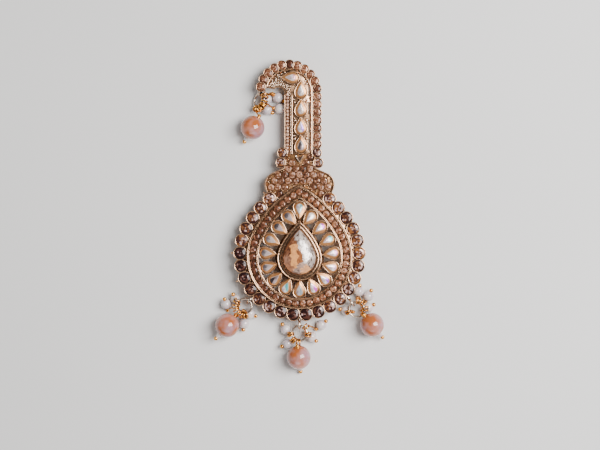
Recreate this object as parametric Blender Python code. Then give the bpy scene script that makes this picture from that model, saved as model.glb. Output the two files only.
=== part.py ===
"""Turban ornament: a drop-shaped medallion of set stones with a paved neck, a hooked stem and four
bead clusters. It lies face up: +X right, +Y towards the hook, +Z out of the face. The origin is on the
surface that it lies on, in the middle of the back pin's foot, behind the main stone."""
import math

import bmesh
import bpy
from mathutils import Matrix, Vector

MM = 0.001
GAP = 0.3 * MM                # between one piece and the next
SINK = 0.2 * MM               # how far joined solids run into each other
WELD = 0.003 * MM             # points closer than this coincide

# Heights above the surface that it lies on
BACK = 3.8 * MM               # back of the castings
SHEET = 1.2 * MM              # thickness of the cast sheet
FLOOR = 7.2 * MM              # floor of the stone channel
RIM_TOP = 8.0 * MM            # top of the two wire rims
COLLAR_TOP = 9.2 * MM
CUP_TOP = 6.7 * MM            # rims of the round stone cups
PEAR_CUP_TOP = 7.6 * MM       # rims of the pear cups round the main stone
PAVED_FLOOR = 5.6 * MM        # floor of the neck and the stem
PAVED_RIM = 6.6 * MM          # rim of the neck
STEM_PEAR_TOP = 7.2 * MM      # rims of the stem's pear cups
RING_FLOOR = BACK + SHEET + SINK    # floors of the two kinds of pear cup
STEM_FLOOR = PAVED_FLOOR + SINK

# Main stone and its collar
BELLY = 0.65                  # how full a pear outline's sides are
STONE_RADIUS = 6.5 * MM
STONE_TIP = 11.4 * MM         # from the middle of its round end to its tip
STONE_CENTRE = -1.2 * MM
STONE_HEIGHT = 5.0 * MM
CROWN = 1.8 * MM              # height of the main stone above its girdle
COLLAR_WALL = 1.8 * MM        # collar's width, with a groove between its two rims
COLLAR_FLANGE = 0.8 * MM
COLLAR_TIP = 1.4 * MM         # how much longer the collar is than the stone's seat
GROOVE = 1.0 * MM             # depth of the groove between the collar's rims
GIRDLE = 0.2 * MM             # thickness of the main stone's girdle
CLEARANCE = 0.2 * MM          # from the collar to the pear cups' tips

# Pear stones
PEAR_RADIUS = 2.0 * MM
PEAR_TIP = 4.0 * MM
PEAR_CROWN = 1.0 * MM
CUP_WALL = 0.35 * MM
RING_STONES = 16

# Outlines round the collar
DRIFT = 0.4 * MM              # each outline sits this much higher than the one inside it
RING_TIP = 4.35 * MM          # how much the ring of pears is drawn out at the top
RIM_WIRE = 0.6 * MM
INNER_TIP = 3.6 * MM
CHANNEL = 3.95 * MM           # from rim to rim
CHANNEL_TIP = 4.7 * MM

# Scalloped border
CUP_RADIUS = 2.6 * MM
CUP_TABLE = 0.55              # a stone's table, as a share of its cup
CUP_CROWN = 0.5 * MM          # height of a stone above its cup
BORDER_CUPS = 26
BORDER_PITCH = 4.9 * MM
BORDER_TIP = 2.3 * MM
BORDER_SHEET = 2.0 * MM       # how far the sheet reaches out under the cups

# Neck
LOBE_RADIUS = 5.0 * MM
LOBE_SPREAD = 8.5 * MM        # from the middle line to a lobe's middle
LOBE_RISE = 0.4 * MM          # of the lobes above the medallion's tip
NECK_WIDTH = 6.1 * MM         # half of the waist's width
WAIST_RISE = 6.5 * MM         # of the waist above the lobes' middles
NECK_RISE = 4.9 * MM          # of the neck's top above the waist
NECK_RIM = 0.5 * MM
SIDE_CUP = 1.85 * MM          # radius of the four cups beside the waist
WINDOW = 0.9 * MM             # half of the small window's width

# Stem and hook
STEM_LEFT = 5.8 * MM          # from the middle line to the stem's edges
STEM_RIGHT = 5.2 * MM
HOOK_RADIUS = 9.4 * MM
HOOK_MOUTH = 2.4 * MM         # radius of the hollow under the hook
HOOK_RISE = 23.7 * MM         # of the hook's middle above the stem's foot
HOOK_END = math.radians(166)
STEM_WIRE = 0.9 * MM
STRIP = 2.5 * MM              # width of the milgrain strip
GRAIN = 0.85 * MM             # radius of the milgrain ridge
STEM_CUP = 1.62 * MM
STEM_CUP_PITCH = 3.05 * MM
STEM_PEAR_PITCH = 7.0 * MM
BEND_GAP = 1.5 * MM           # from the last upright pear's tip to the pear in the bend
SLIT = 0.5 * MM               # half of a slit's width
SLIT_LENGTH = 1.9 * MM        # half of its length

# Bead clusters
RING_MAJOR = 2.9 * MM         # jump ring, to the middle of its wire
RING_WIRE = 0.32 * MM
RING_HEIGHT = 4.75 * MM
LUG_MAJOR = 1.4 * MM
LUG_WIRE = 0.38 * MM
LUG_STUB = 1.6 * MM           # from the shortest eye into the casting
LOOP_MAJOR = 1.15 * MM
LOOP_WIRE = 0.25 * MM
LOOP_SHIFT = 0.5 * MM         # how far a loop hangs out past the jump ring's wire
PEARL_RADIUS = 2.0 * MM
HEAD_RADIUS = 0.8 * MM
BEAD_RADIUS = 4.65 * MM
TIP_LENGTH = 1.7 * MM
TIP_RADIUS = 1.1 * MM
LIFT = 0.1 * MM               # of a pearl above the surface
HOOK_TILT = math.radians(50)  # of the hook's jump ring, which leans over

# Back pin
PIN_FOOT = 5.0 * MM           # half of the foot's length
PIN_WIDTH = 2.0 * MM          # half of its width
PIN_THICK = 1.2 * MM
PIN_REACH = 26.0 * MM         # from the foot to the end of the flat needle
POST = 1.4 * MM

# Sides of the round solids
CUP_SIDES = 8
PEAR_SIDES = 10
COLLAR_SIDES = 24
RIM_SIDES = 34
BEAD_SIDES = 12
PEARL_SIDES = 10
RING_SIDES = 14
LINK_SIDES = 10
WIRE_SIDES = 5

# Each bead cluster hangs from a lug: the lug's direction from the middle of the medallion, the direction
# back from the jump ring to its lug, the jump ring's lean, and how far the lug stands out beyond the
# shortest, in lug radii. The hook's lug is at its tip.
CLUSTERS = {
    "left": (math.radians(222), math.radians(48), 0.0, 0.0),
    "centre": (math.radians(270), math.radians(90), 0.0, 0.8),
    "right": (math.radians(318), math.radians(126), 0.0, 1.0),
    "hook": (None, math.radians(74), HOOK_TILT, 0.0),
}

# The pearls of each cluster, as they happen to lie. In pearl diameters from the jump ring's middle:
# east, north. In degrees: where its loop is on the jump ring, its pin's heading, its pin's rise.
PEARLS = {
    "left": (
        (-0.84, 0.64, 97, 115, 25),
        (-1.78, 0.16, 135, 104, 30),
        (0.54, -0.74, 232, -23, 10),
        (-0.02, -1.70, 198, 262, 0),
    ),
    "centre": (
        (-1.33, 0.34, 95, 122, 10),
        (-1.15, -1.05, 137, 205, 10),
        (2.12, 0.78, 315, 41, 20),
        (1.16, -0.36, 262, -42, 10),
    ),
    "right": (
        (0.25, 1.72, 314, 83, 20),
        (1.17, 1.27, 280, 64, 15),
        (1.14, 0.15, 238, 28, 10),
        (-0.98, -0.13, 72, 168, 0),
    ),
    "hook": (
        (0.74, 0.14, 238, 55, -10),
        (1.80, 0.28, 305, -35, -28),
        (0.74, -0.86, 214, -30, 0),
        (1.98, -0.78, 264, -5, 0),
    ),
}

# The big bead of each cluster. In bead diameters from the jump ring's middle: east, north. In degrees:
# where its loop is on the jump ring, its pin's heading, its pin's rise.
BEADS = {
    "left": (-0.71, -0.80, 166, 229, 0),
    "centre": (-0.03, -1.00, 173, 277, -30),
    "right": (0.64, -0.64, 196, 310, -16),
    "hook": (-0.27, -1.14, 180, 239, -20),
}

METAL = ("champagne metal", (0.80, 0.72, 0.62), 0.28, 1.0)
GOLD = ("gold finding", (0.85, 0.58, 0.25), 0.25, 1.0)
SILVER = ("silver jump ring", (0.83, 0.80, 0.76), 0.22, 1.0)
PEARL = ("pearl", (0.88, 0.84, 0.86), 0.25, 0.0)
PEACH = ("peach stone", (0.88, 0.60, 0.46), 0.08, 0.0)
OPAL = ("iridescent stone", (0.88, 0.80, 0.88), 0.08, 0.0)
GLASS = ("peach glass", (0.86, 0.58, 0.50), 0.12, 0.0)


def clear_scene():
    """Remove the objects that a new scene starts with."""
    for thing in list(bpy.data.objects):
        bpy.data.objects.remove(thing, do_unlink=True)


def material(look):
    """The material with this name, colour, roughness and metallic value."""
    name, colour, roughness, metallic = look
    made = bpy.data.materials.get(name)
    if made is None:
        made = bpy.data.materials.new(name)
        made.use_nodes = True
        surface = made.node_tree.nodes["Principled BSDF"]
        surface.inputs["Base Color"].default_value = (*colour, 1.0)
        surface.inputs["Roughness"].default_value = roughness
        surface.inputs["Metallic"].default_value = metallic
    return made


# Flat outlines: lists of 2-D points, anticlockwise


def arc(centre, radius, start, end, count):
    """Points on an arc, both ends included."""
    turns = [start + (end - start) * i / (count - 1) for i in range(count)]
    return [Vector(centre) + radius * Vector((math.cos(a), math.sin(a))) for a in turns]


def circle(radius, count, centre=(0.0, 0.0), turn=0.0):
    """A regular outline of that many sides."""
    step = 2 * math.pi / count
    return [Vector(centre) + radius * Vector((math.cos(turn + i * step), math.sin(turn + i * step)))
            for i in range(count)]


def spaced(line, count, first=0.0, pitch=None):
    """Points along a closed outline, at equal distances from its first point on."""
    closed = line + line[:1]
    lengths = [(b - a).length for a, b in zip(closed, closed[1:])]
    total = sum(lengths)
    pitch = pitch or total / count
    points = []
    for i in range(count):
        left = (first + i * pitch) % total
        side = 0
        while left > lengths[side] and side < len(lengths) - 1:
            left -= lengths[side]
            side += 1
        points.append(closed[side].lerp(closed[side + 1], left / lengths[side]))
    return points


def drop(radius, tip, centre=0.0, fine=240):
    """A drop's outline: a round end, and two wider arcs that meet at the tip, which comes first."""
    shoulder = math.asin(BELLY * radius / tip)
    side = radius + (tip * tip - radius * radius) / (2 * radius * (1 - BELLY))
    back = Vector((math.cos(shoulder), math.sin(shoulder))) * (side - radius)
    lean = math.atan2(tip + back.y, back.x)
    steps = fine // 4
    right = arc(-back, side, shoulder, lean, steps)
    left = [Vector((-p.x, p.y)) for p in reversed(right)]
    bottom = arc((0, 0), radius, math.pi - shoulder, 2 * math.pi + shoulder, 2 * steps)
    line = left + bottom[1:] + right[1:-1]
    return [p + Vector((0, centre)) for p in line]


def grown(line, distance):
    """A closed outline moved outwards, or inwards if the distance is negative."""
    count = len(line)
    moved = []
    for i, here in enumerate(line):
        before = (here - line[i - 1]).normalized()
        after = (line[(i + 1) % count] - here).normalized()
        normals = [Vector((d.y, -d.x)) for d in (before, after)]
        middle = (normals[0] + normals[1]).normalized()
        moved.append(here + middle * distance / max(middle.dot(normals[0]), 0.4))
    return moved


def turned(line, at, heading):
    """An outline turned so that its +Y points along the heading, and moved."""
    spin = Matrix.Rotation(heading - math.pi / 2, 2)
    return [Vector(at) + spin @ p for p in line]


def outward(line, i):
    """The outward direction of a closed outline at one of its points."""
    along = line[(i + 1) % len(line)] - line[i - 1]
    return math.atan2(-along.x, along.y)


# Solids


def from_bmesh(name, mesh, look):
    """A new object with this mesh, its faces pointing out."""
    bmesh.ops.recalc_face_normals(mesh, faces=mesh.faces)
    data = bpy.data.meshes.new(name)
    mesh.to_mesh(data)
    mesh.free()
    data.materials.append(material(look))
    thing = bpy.data.objects.new(name, data)
    bpy.context.scene.collection.objects.link(thing)
    return thing


def loft(name, rings, look, closed=False):
    """A solid through rings of equally many 3-D points: capped at both ends, or closed on itself."""
    mesh = bmesh.new()
    rows = [[mesh.verts.new(p) for p in ring] for ring in rings]
    following = rows[1:] + rows[:1] if closed else rows[1:]
    for row, other in zip(rows, following):
        for i in range(len(row)):
            j = (i + 1) % len(row)
            mesh.faces.new((row[i], row[j], other[j], other[i]))
    if not closed:
        mesh.faces.new(rows[0])
        mesh.faces.new(rows[-1])
    return from_bmesh(name, mesh, look)


def stacked(name, levels, look, closed=False):
    """A solid through flat outlines, each given with its height."""
    rings = [[(p.x, p.y, height) for p in line] for line, height in levels]
    return loft(name, rings, look, closed)


def torus(name, place, major, wire, sides, look):
    """A wire ring round the local Z axis of a place."""
    rings = []
    for turn in range(sides):
        spin = place @ Matrix.Rotation(2 * math.pi * turn / sides, 4, "Z")
        section = circle(wire, WIRE_SIDES, (major, 0.0))
        rings.append([spin @ Vector((p.x, 0.0, p.y)) for p in section])
    return loft(name, rings, look, closed=True)


def tube(name, line, radii, sides, look):
    """A round bar along 3-D points, with its radius at each."""
    rings = []
    side = None
    for i, here in enumerate(line):
        before = (here - line[max(i - 1, 0)]).normalized()
        after = (line[min(i + 1, len(line) - 1)] - here).normalized()
        along = (before + after).normalized()
        guide = side or (Vector((0, 0, 1)) if abs(along.z) < 0.8 else Vector((1, 0, 0)))
        side = (guide - along * guide.dot(along)).normalized()
        other = along.cross(side)
        rings.append([here + side * p.x + other * p.y for p in circle(radii[i], sides)])
    return loft(name, rings, look)


def tidied(data):
    """Weld points that coincide."""
    mesh = bmesh.new()
    mesh.from_mesh(data)
    bmesh.ops.remove_doubles(mesh, verts=mesh.verts, dist=WELD)
    mesh.to_mesh(data)
    mesh.free()


def combine(thing, others, operation):
    """Join other solids to a solid, or cut them from it, with an exact Boolean."""
    group = bpy.data.collections.new("operands")
    bpy.context.scene.collection.children.link(group)
    for other in others:
        bpy.context.scene.collection.objects.unlink(other)
        group.objects.link(other)
    boolean = thing.modifiers.new("combine", "BOOLEAN")
    boolean.operation = operation
    boolean.operand_type = "COLLECTION"
    boolean.collection = group
    boolean.solver = "EXACT"
    result = bpy.data.meshes.new_from_object(thing.evaluated_get(bpy.context.evaluated_depsgraph_get()))
    thing.modifiers.clear()
    result.name = thing.name
    thing.data = result
    for other in others:
        bpy.data.objects.remove(other, do_unlink=True)
    bpy.data.collections.remove(group)
    return thing


def fused(name, parts, cuts=()):
    """One solid of parts that run into each other, less its cuts."""
    whole = combine(parts[0], parts[1:], "UNION")
    if cuts:
        combine(whole, list(cuts), "DIFFERENCE")
        tidied(whole.data)
    whole.name = name
    whole.data.name = name
    return whole


# Settings and stones


def round_cup(at, radius, heading=0.0):
    """A round cup filled by its stone: a crown of eight facets round a table."""
    turn = heading + math.pi / CUP_SIDES
    return stacked("cup", (
        (circle(radius, CUP_SIDES, at, turn), BACK + SINK),
        (circle(radius, CUP_SIDES, at, turn), CUP_TOP),
        (circle(CUP_TABLE * radius, CUP_SIDES, at, turn), CUP_TOP + CUP_CROWN),
    ), METAL)


def pear_outline(margin, at, heading):
    """A pear stone's outline, with a margin round it."""
    line = spaced(drop(PEAR_RADIUS + margin, PEAR_TIP + 1.3 * margin), PEAR_SIDES)
    return turned(line, at, heading)


def pear_cup(at, heading, top, floor):
    """An empty pear cup, with room for its stone above its floor."""
    outer = pear_outline(GAP + CUP_WALL, at, heading)
    inner = pear_outline(GAP, at, heading)
    return stacked("pear cup", (
        (outer, BACK + SINK),
        (outer, top),
        (inner, top),
        (inner, floor),
    ), METAL)


def pear_stone(name, at, heading, top, floor):
    """A pear stone with a table and a ring of crown facets."""
    girdle = pear_outline(0.0, at, heading)
    table = pear_outline(-0.45 * PEAR_RADIUS, at, heading)
    return stacked(name, (
        (girdle, floor + GAP),
        (girdle, top),
        (table, top + PEAR_CROWN),
    ), OPAL)


def main_stone():
    """The faceted main stone, pointed below and with a table above."""
    girdle = COLLAR_TOP - GAP
    bottom = girdle + CROWN - STONE_HEIGHT

    def level(share, height):
        line = spaced(drop(STONE_RADIUS * share, STONE_TIP * share, STONE_CENTRE), COLLAR_SIDES)
        return line, height

    return stacked("centre_stone", (
        level(0.12, bottom),
        level(0.96, girdle - 2 * GIRDLE),
        level(1.0, girdle - GIRDLE),
        level(1.0, girdle),
        level(0.80, girdle + 0.6 * CROWN),
        level(0.55, girdle + CROWN),
    ), PEACH)


# Outlines of the medallion, from the collar out


def collar_line():
    """The seat of the main stone."""
    return drop(STONE_RADIUS + GAP, STONE_TIP + 1.2 * GAP, STONE_CENTRE)


def ring_line():
    """The middles of the pears' round ends."""
    radius = STONE_RADIUS + GAP + COLLAR_WALL + CLEARANCE + CUP_WALL + GAP + PEAR_TIP
    return drop(radius, radius + RING_TIP + COLLAR_TIP, STONE_CENTRE + DRIFT)


def inner_line():
    """The inner wire rim."""
    line = ring_line()
    radius = max(p.x for p in line) + PEAR_RADIUS + GAP + CUP_WALL
    return drop(radius, max(p.y for p in line) + INNER_TIP - STONE_CENTRE - DRIFT, STONE_CENTRE + DRIFT)


def outer_line():
    """The outer wire rim."""
    radius = max(p.x for p in inner_line()) + CHANNEL
    tip = max(p.y for p in inner_line()) + CHANNEL_TIP
    return drop(radius, tip - STONE_CENTRE - 2 * DRIFT, STONE_CENTRE + 2 * DRIFT)


def border_line():
    """The middles of the border cups."""
    reach = 0.5 * RIM_WIRE + CUP_RADIUS
    radius = max(p.x for p in outer_line()) + reach
    tip = max(p.y for p in outer_line()) + BORDER_TIP
    return drop(radius, tip - STONE_CENTRE - 3 * DRIFT, STONE_CENTRE + 3 * DRIFT)


def ring_places():
    """Where the pears stand round the collar, tips inwards."""
    line = ring_line()
    points = spaced(line, RING_STONES)
    dense = spaced(line, RING_STONES * 8)
    return [(p, outward(dense, 8 * i) + math.pi) for i, p in enumerate(points)]


def border_places():
    """Where the border cups stand, from the left end of the neck round to the right."""
    line = border_line()
    total = sum((b - a).length for a, b in zip(line, line[1:] + line[:1]))
    first = 0.5 * (total - (BORDER_CUPS - 1) * BORDER_PITCH)
    points = spaced(line, BORDER_CUPS, first, BORDER_PITCH)
    ahead = spaced(line, BORDER_CUPS, first + SINK, BORDER_PITCH)
    return [(p, math.atan2((q - p).y, (q - p).x)) for p, q in zip(points, ahead)]


def medallion_edge():
    """The outer edge of the sheet: under the border cups, and close to the rim at the tip."""
    line = spaced(outer_line(), RIM_SIDES)
    high = border_places()[0][0].y
    wide = grown(line, BORDER_SHEET)
    near = grown(line, 0.5 * RIM_WIRE + 0.5 * SINK)
    return [a if a.y < high else b for a, b in zip(wide, near)]


# Clusters: where their jump rings and loops are


def cluster_place(side):
    """The frame of a cluster's jump ring: +X towards its lug, +Z along its axis."""
    bearing, back, tilt, extra = CLUSTERS[side]
    if bearing is None:
        root = hook_tip()
        height = BACK
    else:
        reach = max(p.x for p in border_line()) + 0.75 * CUP_RADIUS + extra * LUG_MAJOR
        root = reach * Vector((math.cos(bearing), math.sin(bearing)))
        height = RING_HEIGHT
    centre = root - (RING_MAJOR + LUG_MAJOR) * Vector((math.cos(back), math.sin(back)))
    spin = Matrix.Rotation(back, 4, "Z") @ Matrix.Rotation(-tilt, 4, "X")
    return Matrix.Translation((centre.x, centre.y, height)) @ spin


def linked_place(ring, turn, major):
    """The frame of a link that a jump ring's wire passes through, at an angle on the ring."""
    at = ring @ Matrix.Rotation(turn, 4, "Z") @ Matrix.Translation((major, 0, 0))
    return at @ Matrix.Rotation(math.pi / 2, 4, "X")


def lug(side):
    """A small eye on the casting's edge that holds a jump ring."""
    ring = cluster_place(side)
    place = linked_place(ring, 0.0, RING_MAJOR + 0.35 * LUG_MAJOR)
    eye = torus("eye", place, LUG_MAJOR, LUG_WIRE, LINK_SIDES, METAL)
    start = place @ Vector((LUG_MAJOR, 0, 0))
    end = place @ Vector((LUG_MAJOR + LUG_STUB + CLUSTERS[side][-1] * LUG_MAJOR, 0, 0))
    stub = tube("stub", [start, end], [1.3 * LUG_WIRE] * 2, WIRE_SIDES + 1, METAL)
    return [eye, stub]


def dangle(name, ring, turn, centre, heading, rise, radius, look, tipped=False):
    """A bead on its head pin, with a loop round the jump ring, as one solid."""
    place = linked_place(ring, turn, RING_MAJOR + LOOP_SHIFT)
    axis = Vector((math.cos(heading) * math.cos(rise), math.sin(heading) * math.cos(rise), math.sin(rise)))
    rounds = (-60, -32, 0, 32, 60) if tipped else (-48, 0, 48)
    profile = [(-radius - 2 * LOOP_WIRE, LOOP_WIRE)]
    profile += [(radius * math.sin(math.radians(a)), radius * math.cos(math.radians(a))) for a in rounds]
    end = radius
    if tipped:
        end += TIP_LENGTH
        profile.append((radius - SINK, TIP_RADIUS))
    profile += [(end - SINK, 0.5 * HEAD_RADIUS), (end + 0.5 * HEAD_RADIUS, HEAD_RADIUS),
                (end + 1.3 * HEAD_RADIUS, 0.4 * HEAD_RADIUS)]
    line = [centre + axis * along for along, _ in profile]
    bead = tube(name, line, [wide for _, wide in profile], BEAD_SIDES if tipped else PEARL_SIDES, look)
    loop = torus("loop", place, LOOP_MAJOR, LOOP_WIRE, LINK_SIDES, GOLD)
    ends = [place @ Vector((LOOP_MAJOR, 0, 0)), line[0] + axis * LOOP_WIRE]
    wire = tube("wire", ends, [0.8 * LOOP_WIRE] * 2, WIRE_SIDES, GOLD)
    return fused(name, [bead, loop, wire])


def cluster(side):
    """A jump ring with four pearls and a big bead."""
    ring = cluster_place(side)
    torus("jump_ring_" + side, ring, RING_MAJOR, RING_WIRE, RING_SIDES, SILVER)
    middle = ring.translation
    rows = [(row, PEARL_RADIUS) for row in PEARLS[side]] + [(BEADS[side], BEAD_RADIUS)]
    for i, (row, radius) in enumerate(rows):
        east, north, turn, heading, rise = row
        big = radius == BEAD_RADIUS
        name = "bead_drop_" + side if big else "pearl_%s_%d" % (side, i + 1)
        centre = Vector((middle.x + 2 * radius * east, middle.y + 2 * radius * north,
                         radius if big else radius + LIFT))
        dangle(name, ring, math.radians(turn), centre, math.radians(heading), math.radians(rise),
               radius, GLASS if big else PEARL, tipped=big)


# The three castings


def drop_frame():
    """The medallion: collar, pear cups, stone channel between its rims, scalloped border and lugs."""
    edge = medallion_edge()
    outer = spaced(outer_line(), RIM_SIDES)
    inner = spaced(inner_line(), RIM_SIDES)
    half = 0.5 * RIM_WIRE
    channel = stacked("channel", (
        (edge, BACK),
        (edge, BACK + SHEET),
        (grown(outer, half), BACK + SHEET),
        (grown(outer, half), RIM_TOP),
        (grown(outer, -half), RIM_TOP),
        (grown(outer, -half), FLOOR),
        (grown(inner, half), FLOOR),
        (grown(inner, half), RIM_TOP),
        (grown(inner, -half), RIM_TOP),
        (grown(inner, -half), BACK),
    ), METAL, closed=True)

    seat = spaced(collar_line(), COLLAR_SIDES)
    collar = stacked("collar", (
        (grown(seat, COLLAR_WALL + COLLAR_FLANGE), BACK),
        (grown(seat, COLLAR_WALL + COLLAR_FLANGE), BACK + SHEET),
        (grown(seat, COLLAR_WALL), BACK + SHEET),
        (grown(seat, 0.8 * COLLAR_WALL), COLLAR_TOP - GAP),
        (grown(seat, 0.55 * COLLAR_WALL), COLLAR_TOP - GROOVE),
        (grown(seat, 0.35 * COLLAR_WALL), COLLAR_TOP),
        (seat, COLLAR_TOP),
        (seat, BACK + SHEET),
    ), METAL)

    cups = [pear_cup(at, heading, PEAR_CUP_TOP, RING_FLOOR) for at, heading in ring_places()]
    border = [round_cup(at, CUP_RADIUS, heading) for at, heading in border_places()]
    near = max(p.y for p in seat) + 0.5 * COLLAR_WALL
    far = ring_places()[0][0].y - PEAR_TIP - 1.3 * GAP - 0.5 * CUP_WALL
    ends = [Vector((0, y, BACK + 1.5 * SHEET)) for y in (near, far)]
    bar = tube("bar", ends, [SHEET] * 2, CUP_SIDES, METAL)
    lugs = lug("left") + lug("centre") + lug("right")
    whole = fused("drop_frame", [channel, collar] + cups + border + [bar] + lugs)
    tidied(whole.data)


def lobe_height():
    """The height on the page of the neck's lobes."""
    return max(p.y for p in outer_line()) + LOBE_RISE


def neck_top():
    """Where the neck ends and the stem begins."""
    return lobe_height() + WAIST_RISE + NECK_RISE


def neck_outline():
    """A cloud-shaped plate: two lobes, sloping shoulders and a straight waist."""
    middle = lobe_height()
    waist = middle + WAIST_RISE
    lobe = arc((LOBE_SPREAD, middle), LOBE_RADIUS, math.radians(-80), math.radians(75), 10)
    right = [Vector((0, middle - 2 * LOBE_RADIUS))] + lobe + [Vector((NECK_WIDTH, waist))]
    right.append(Vector((NECK_WIDTH, neck_top())))
    left = [Vector((-p.x, p.y)) for p in reversed(right[1:])]
    return right + left


def side_cup_places(low):
    """The cups at both sides: the low pair beside the waist, the high pair beside the stem's foot."""
    if low:
        reach = NECK_WIDTH + 0.72 * SIDE_CUP
        return [Vector((x, neck_top() - 1.6 * SIDE_CUP)) for x in (-reach, reach)]
    left = -STEM_LEFT - 0.58 * SIDE_CUP
    right = STEM_RIGHT + 0.88 * SIDE_CUP
    return [Vector((x, neck_top() + 0.48 * SIDE_CUP)) for x in (left, right)]


def neck_plate():
    """The paved neck, with a cup at each side of the waist above and below, and a small window."""
    line = neck_outline()
    within = grown(line, -NECK_RIM)
    tray = stacked("tray", (
        (line, BACK),
        (line, PAVED_RIM),
        (within, PAVED_RIM),
        (within, PAVED_FLOOR),
    ), METAL)
    edge = grown(medallion_edge(), GAP)
    cups = [round_cup(at, SIDE_CUP) for at in side_cup_places(low=True)]

    window = Vector((0, neck_top() - 0.43 * NECK_RISE))
    cut = stacked("cut", ((edge, 0.0), (edge, 2 * COLLAR_TOP)), METAL)
    near = [circle(CUP_RADIUS + GAP, PEAR_SIDES, at) for at, _ in (border_places()[0], border_places()[-1])]
    near += [circle(SIDE_CUP + GAP, PEAR_SIDES, at) for at in side_cup_places(low=False)]
    cup_cuts = [stacked("cup cut", ((line, 0.0), (line, 2 * COLLAR_TOP)), METAL) for line in near]
    triangle = circle(WINDOW, 3, window, -math.pi / 2)
    hole = stacked("hole", ((triangle, 0.0), (triangle, 2 * COLLAR_TOP)), METAL)
    fused("neck_plate", [tray] + cups, [cut] + cup_cuts + [hole])


def hook_centre():
    """The middle of the hook's round top."""
    return Vector((STEM_RIGHT - HOOK_RADIUS, neck_top() + GAP + HOOK_RISE))


def hook_tip():
    """Where the hook's lug meets its jump ring."""
    return hook_centre() + Vector((-HOOK_RADIUS - 0.5 * STEM_CUP, 0.15 * HOOK_RADIUS))


def stem_outline():
    """The stem with its round top and the hollow under the hook."""
    foot = neck_top() + GAP
    centre = hook_centre()
    top = arc(centre, HOOK_RADIUS, 0.0, HOOK_END, 15)
    mouth = Vector((-STEM_LEFT - HOOK_MOUTH, centre.y - SINK))
    hollow = arc(mouth, HOOK_MOUTH, math.radians(135), 0.0, 6)
    return [Vector((-STEM_LEFT, foot)), Vector((STEM_RIGHT, foot))] + top + hollow


def stem_cup_places():
    """The stem's cups, with the direction of their row: up its right edge, then round the hook."""
    centre = hook_centre()
    radius = HOOK_RADIUS + 0.82 * STEM_CUP
    first = side_cup_places(low=False)[-1].y + SIDE_CUP + 0.95 * STEM_CUP
    straight = centre.y - first
    places = []
    for i in range(int((straight + radius * HOOK_END) / STEM_CUP_PITCH) + 1):
        along = i * STEM_CUP_PITCH
        turn = max(0.0, along - straight) / radius
        at = centre + radius * Vector((math.cos(turn), math.sin(turn)))
        places.append((at - Vector((0, max(0.0, straight - along))), turn + math.pi / 2))
    return places


def stem_pear_places():
    """The stem's pears: four upright ones and one lying in the hook's bend."""
    centre = hook_centre()
    bottom = neck_top() + GAP + PEAR_RADIUS + GAP + 1.3 * CUP_WALL
    x = 0.1 * STEM_RIGHT
    places = [(Vector((x, bottom + i * STEM_PEAR_PITCH)), math.pi / 2) for i in range(4)]
    tip = places[-1][0] + Vector((0, PEAR_TIP)) - centre
    middle = HOOK_RADIUS - 1.2 * STEM_WIRE - GAP - PEAR_RADIUS
    turn = math.atan2(tip.y, tip.x) + 2 * math.asin(0.5 * (PEAR_RADIUS + BEND_GAP) / middle)
    bend = centre + middle * Vector((math.cos(turn), math.sin(turn)))
    return places + [(bend, math.radians(178))]


def hook_stem():
    """The stem: pear cups up its middle, a milgrain strip, two wires, slits and its row of cups."""
    line = stem_outline()
    foot = neck_top() + GAP
    plate = stacked("plate", ((line, BACK), (line, PAVED_FLOOR)), METAL)
    centre = hook_centre()
    high = centre.y - 0.3 * HOOK_RADIUS

    def wire(route, radius=0.6 * STEM_WIRE):
        return tube("wire", [Vector((p.x, p.y, PAVED_FLOOR + 0.5 * radius)) for p in route],
                    [radius] * len(route), WIRE_SIDES + 1, METAL)

    right = [Vector((STEM_RIGHT - 0.6 * STEM_WIRE, foot + SINK))]
    right += arc(centre, HOOK_RADIUS - 0.6 * STEM_WIRE, 0.0, math.radians(150), 12)
    left = [Vector((-STEM_LEFT + STRIP + 0.6 * STEM_WIRE, y)) for y in (foot + SINK, high)]
    ridge = [Vector((-STEM_LEFT + 0.5 * STRIP, y)) for y in (foot + SINK, high)]
    cups = [round_cup(at, STEM_CUP, heading) for at, heading in stem_cup_places()]
    cups += [round_cup(at, SIDE_CUP) for at in side_cup_places(low=False)]
    pears = stem_pear_places()
    pear_cups = [pear_cup(at, heading, STEM_PEAR_TOP, STEM_FLOOR) for at, heading in pears]
    slits = []
    for at, heading in pears[:4]:
        x = at.x + PEAR_RADIUS + GAP + CUP_WALL + 1.3 * SLIT
        slot = [Vector((x + a * SLIT, at.y + 0.5 * PEAR_RADIUS + b * SLIT_LENGTH))
                for a, b in ((-1, -1), (1, -1), (1, 1), (-1, 1))]
        slits.append(stacked("slit", ((slot, 0.0), (slot, 2 * COLLAR_TOP)), METAL))
    wires = [wire(right), wire(left), wire(ridge, GRAIN)]
    fused("hook_stem", [plate] + wires + cups + pear_cups + lug("hook"), slits)


def back_pin():
    """A flat needle behind the medallion, on a foot with two posts: one plain piece."""
    foot = [Vector((-PIN_WIDTH, -PIN_FOOT)), Vector((PIN_WIDTH, -PIN_FOOT)),
            Vector((PIN_WIDTH, PIN_FOOT)), Vector((0.5 * PIN_WIDTH, PIN_REACH)),
            Vector((-0.5 * PIN_WIDTH, PIN_REACH)), Vector((-PIN_WIDTH, PIN_FOOT))]
    blade = stacked("back_pin", ((foot, 0.0), (foot, PIN_THICK)), METAL)
    posts = [stacked("post", ((circle(POST, CUP_SIDES, (0, y)), 0.5 * PIN_THICK),
                              (circle(POST, CUP_SIDES, (0, y)), BACK - GAP)), METAL)
             for y in (-0.6 * PIN_FOOT, 0.6 * PIN_FOOT)]
    fused("back_pin", [blade] + posts)


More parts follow.
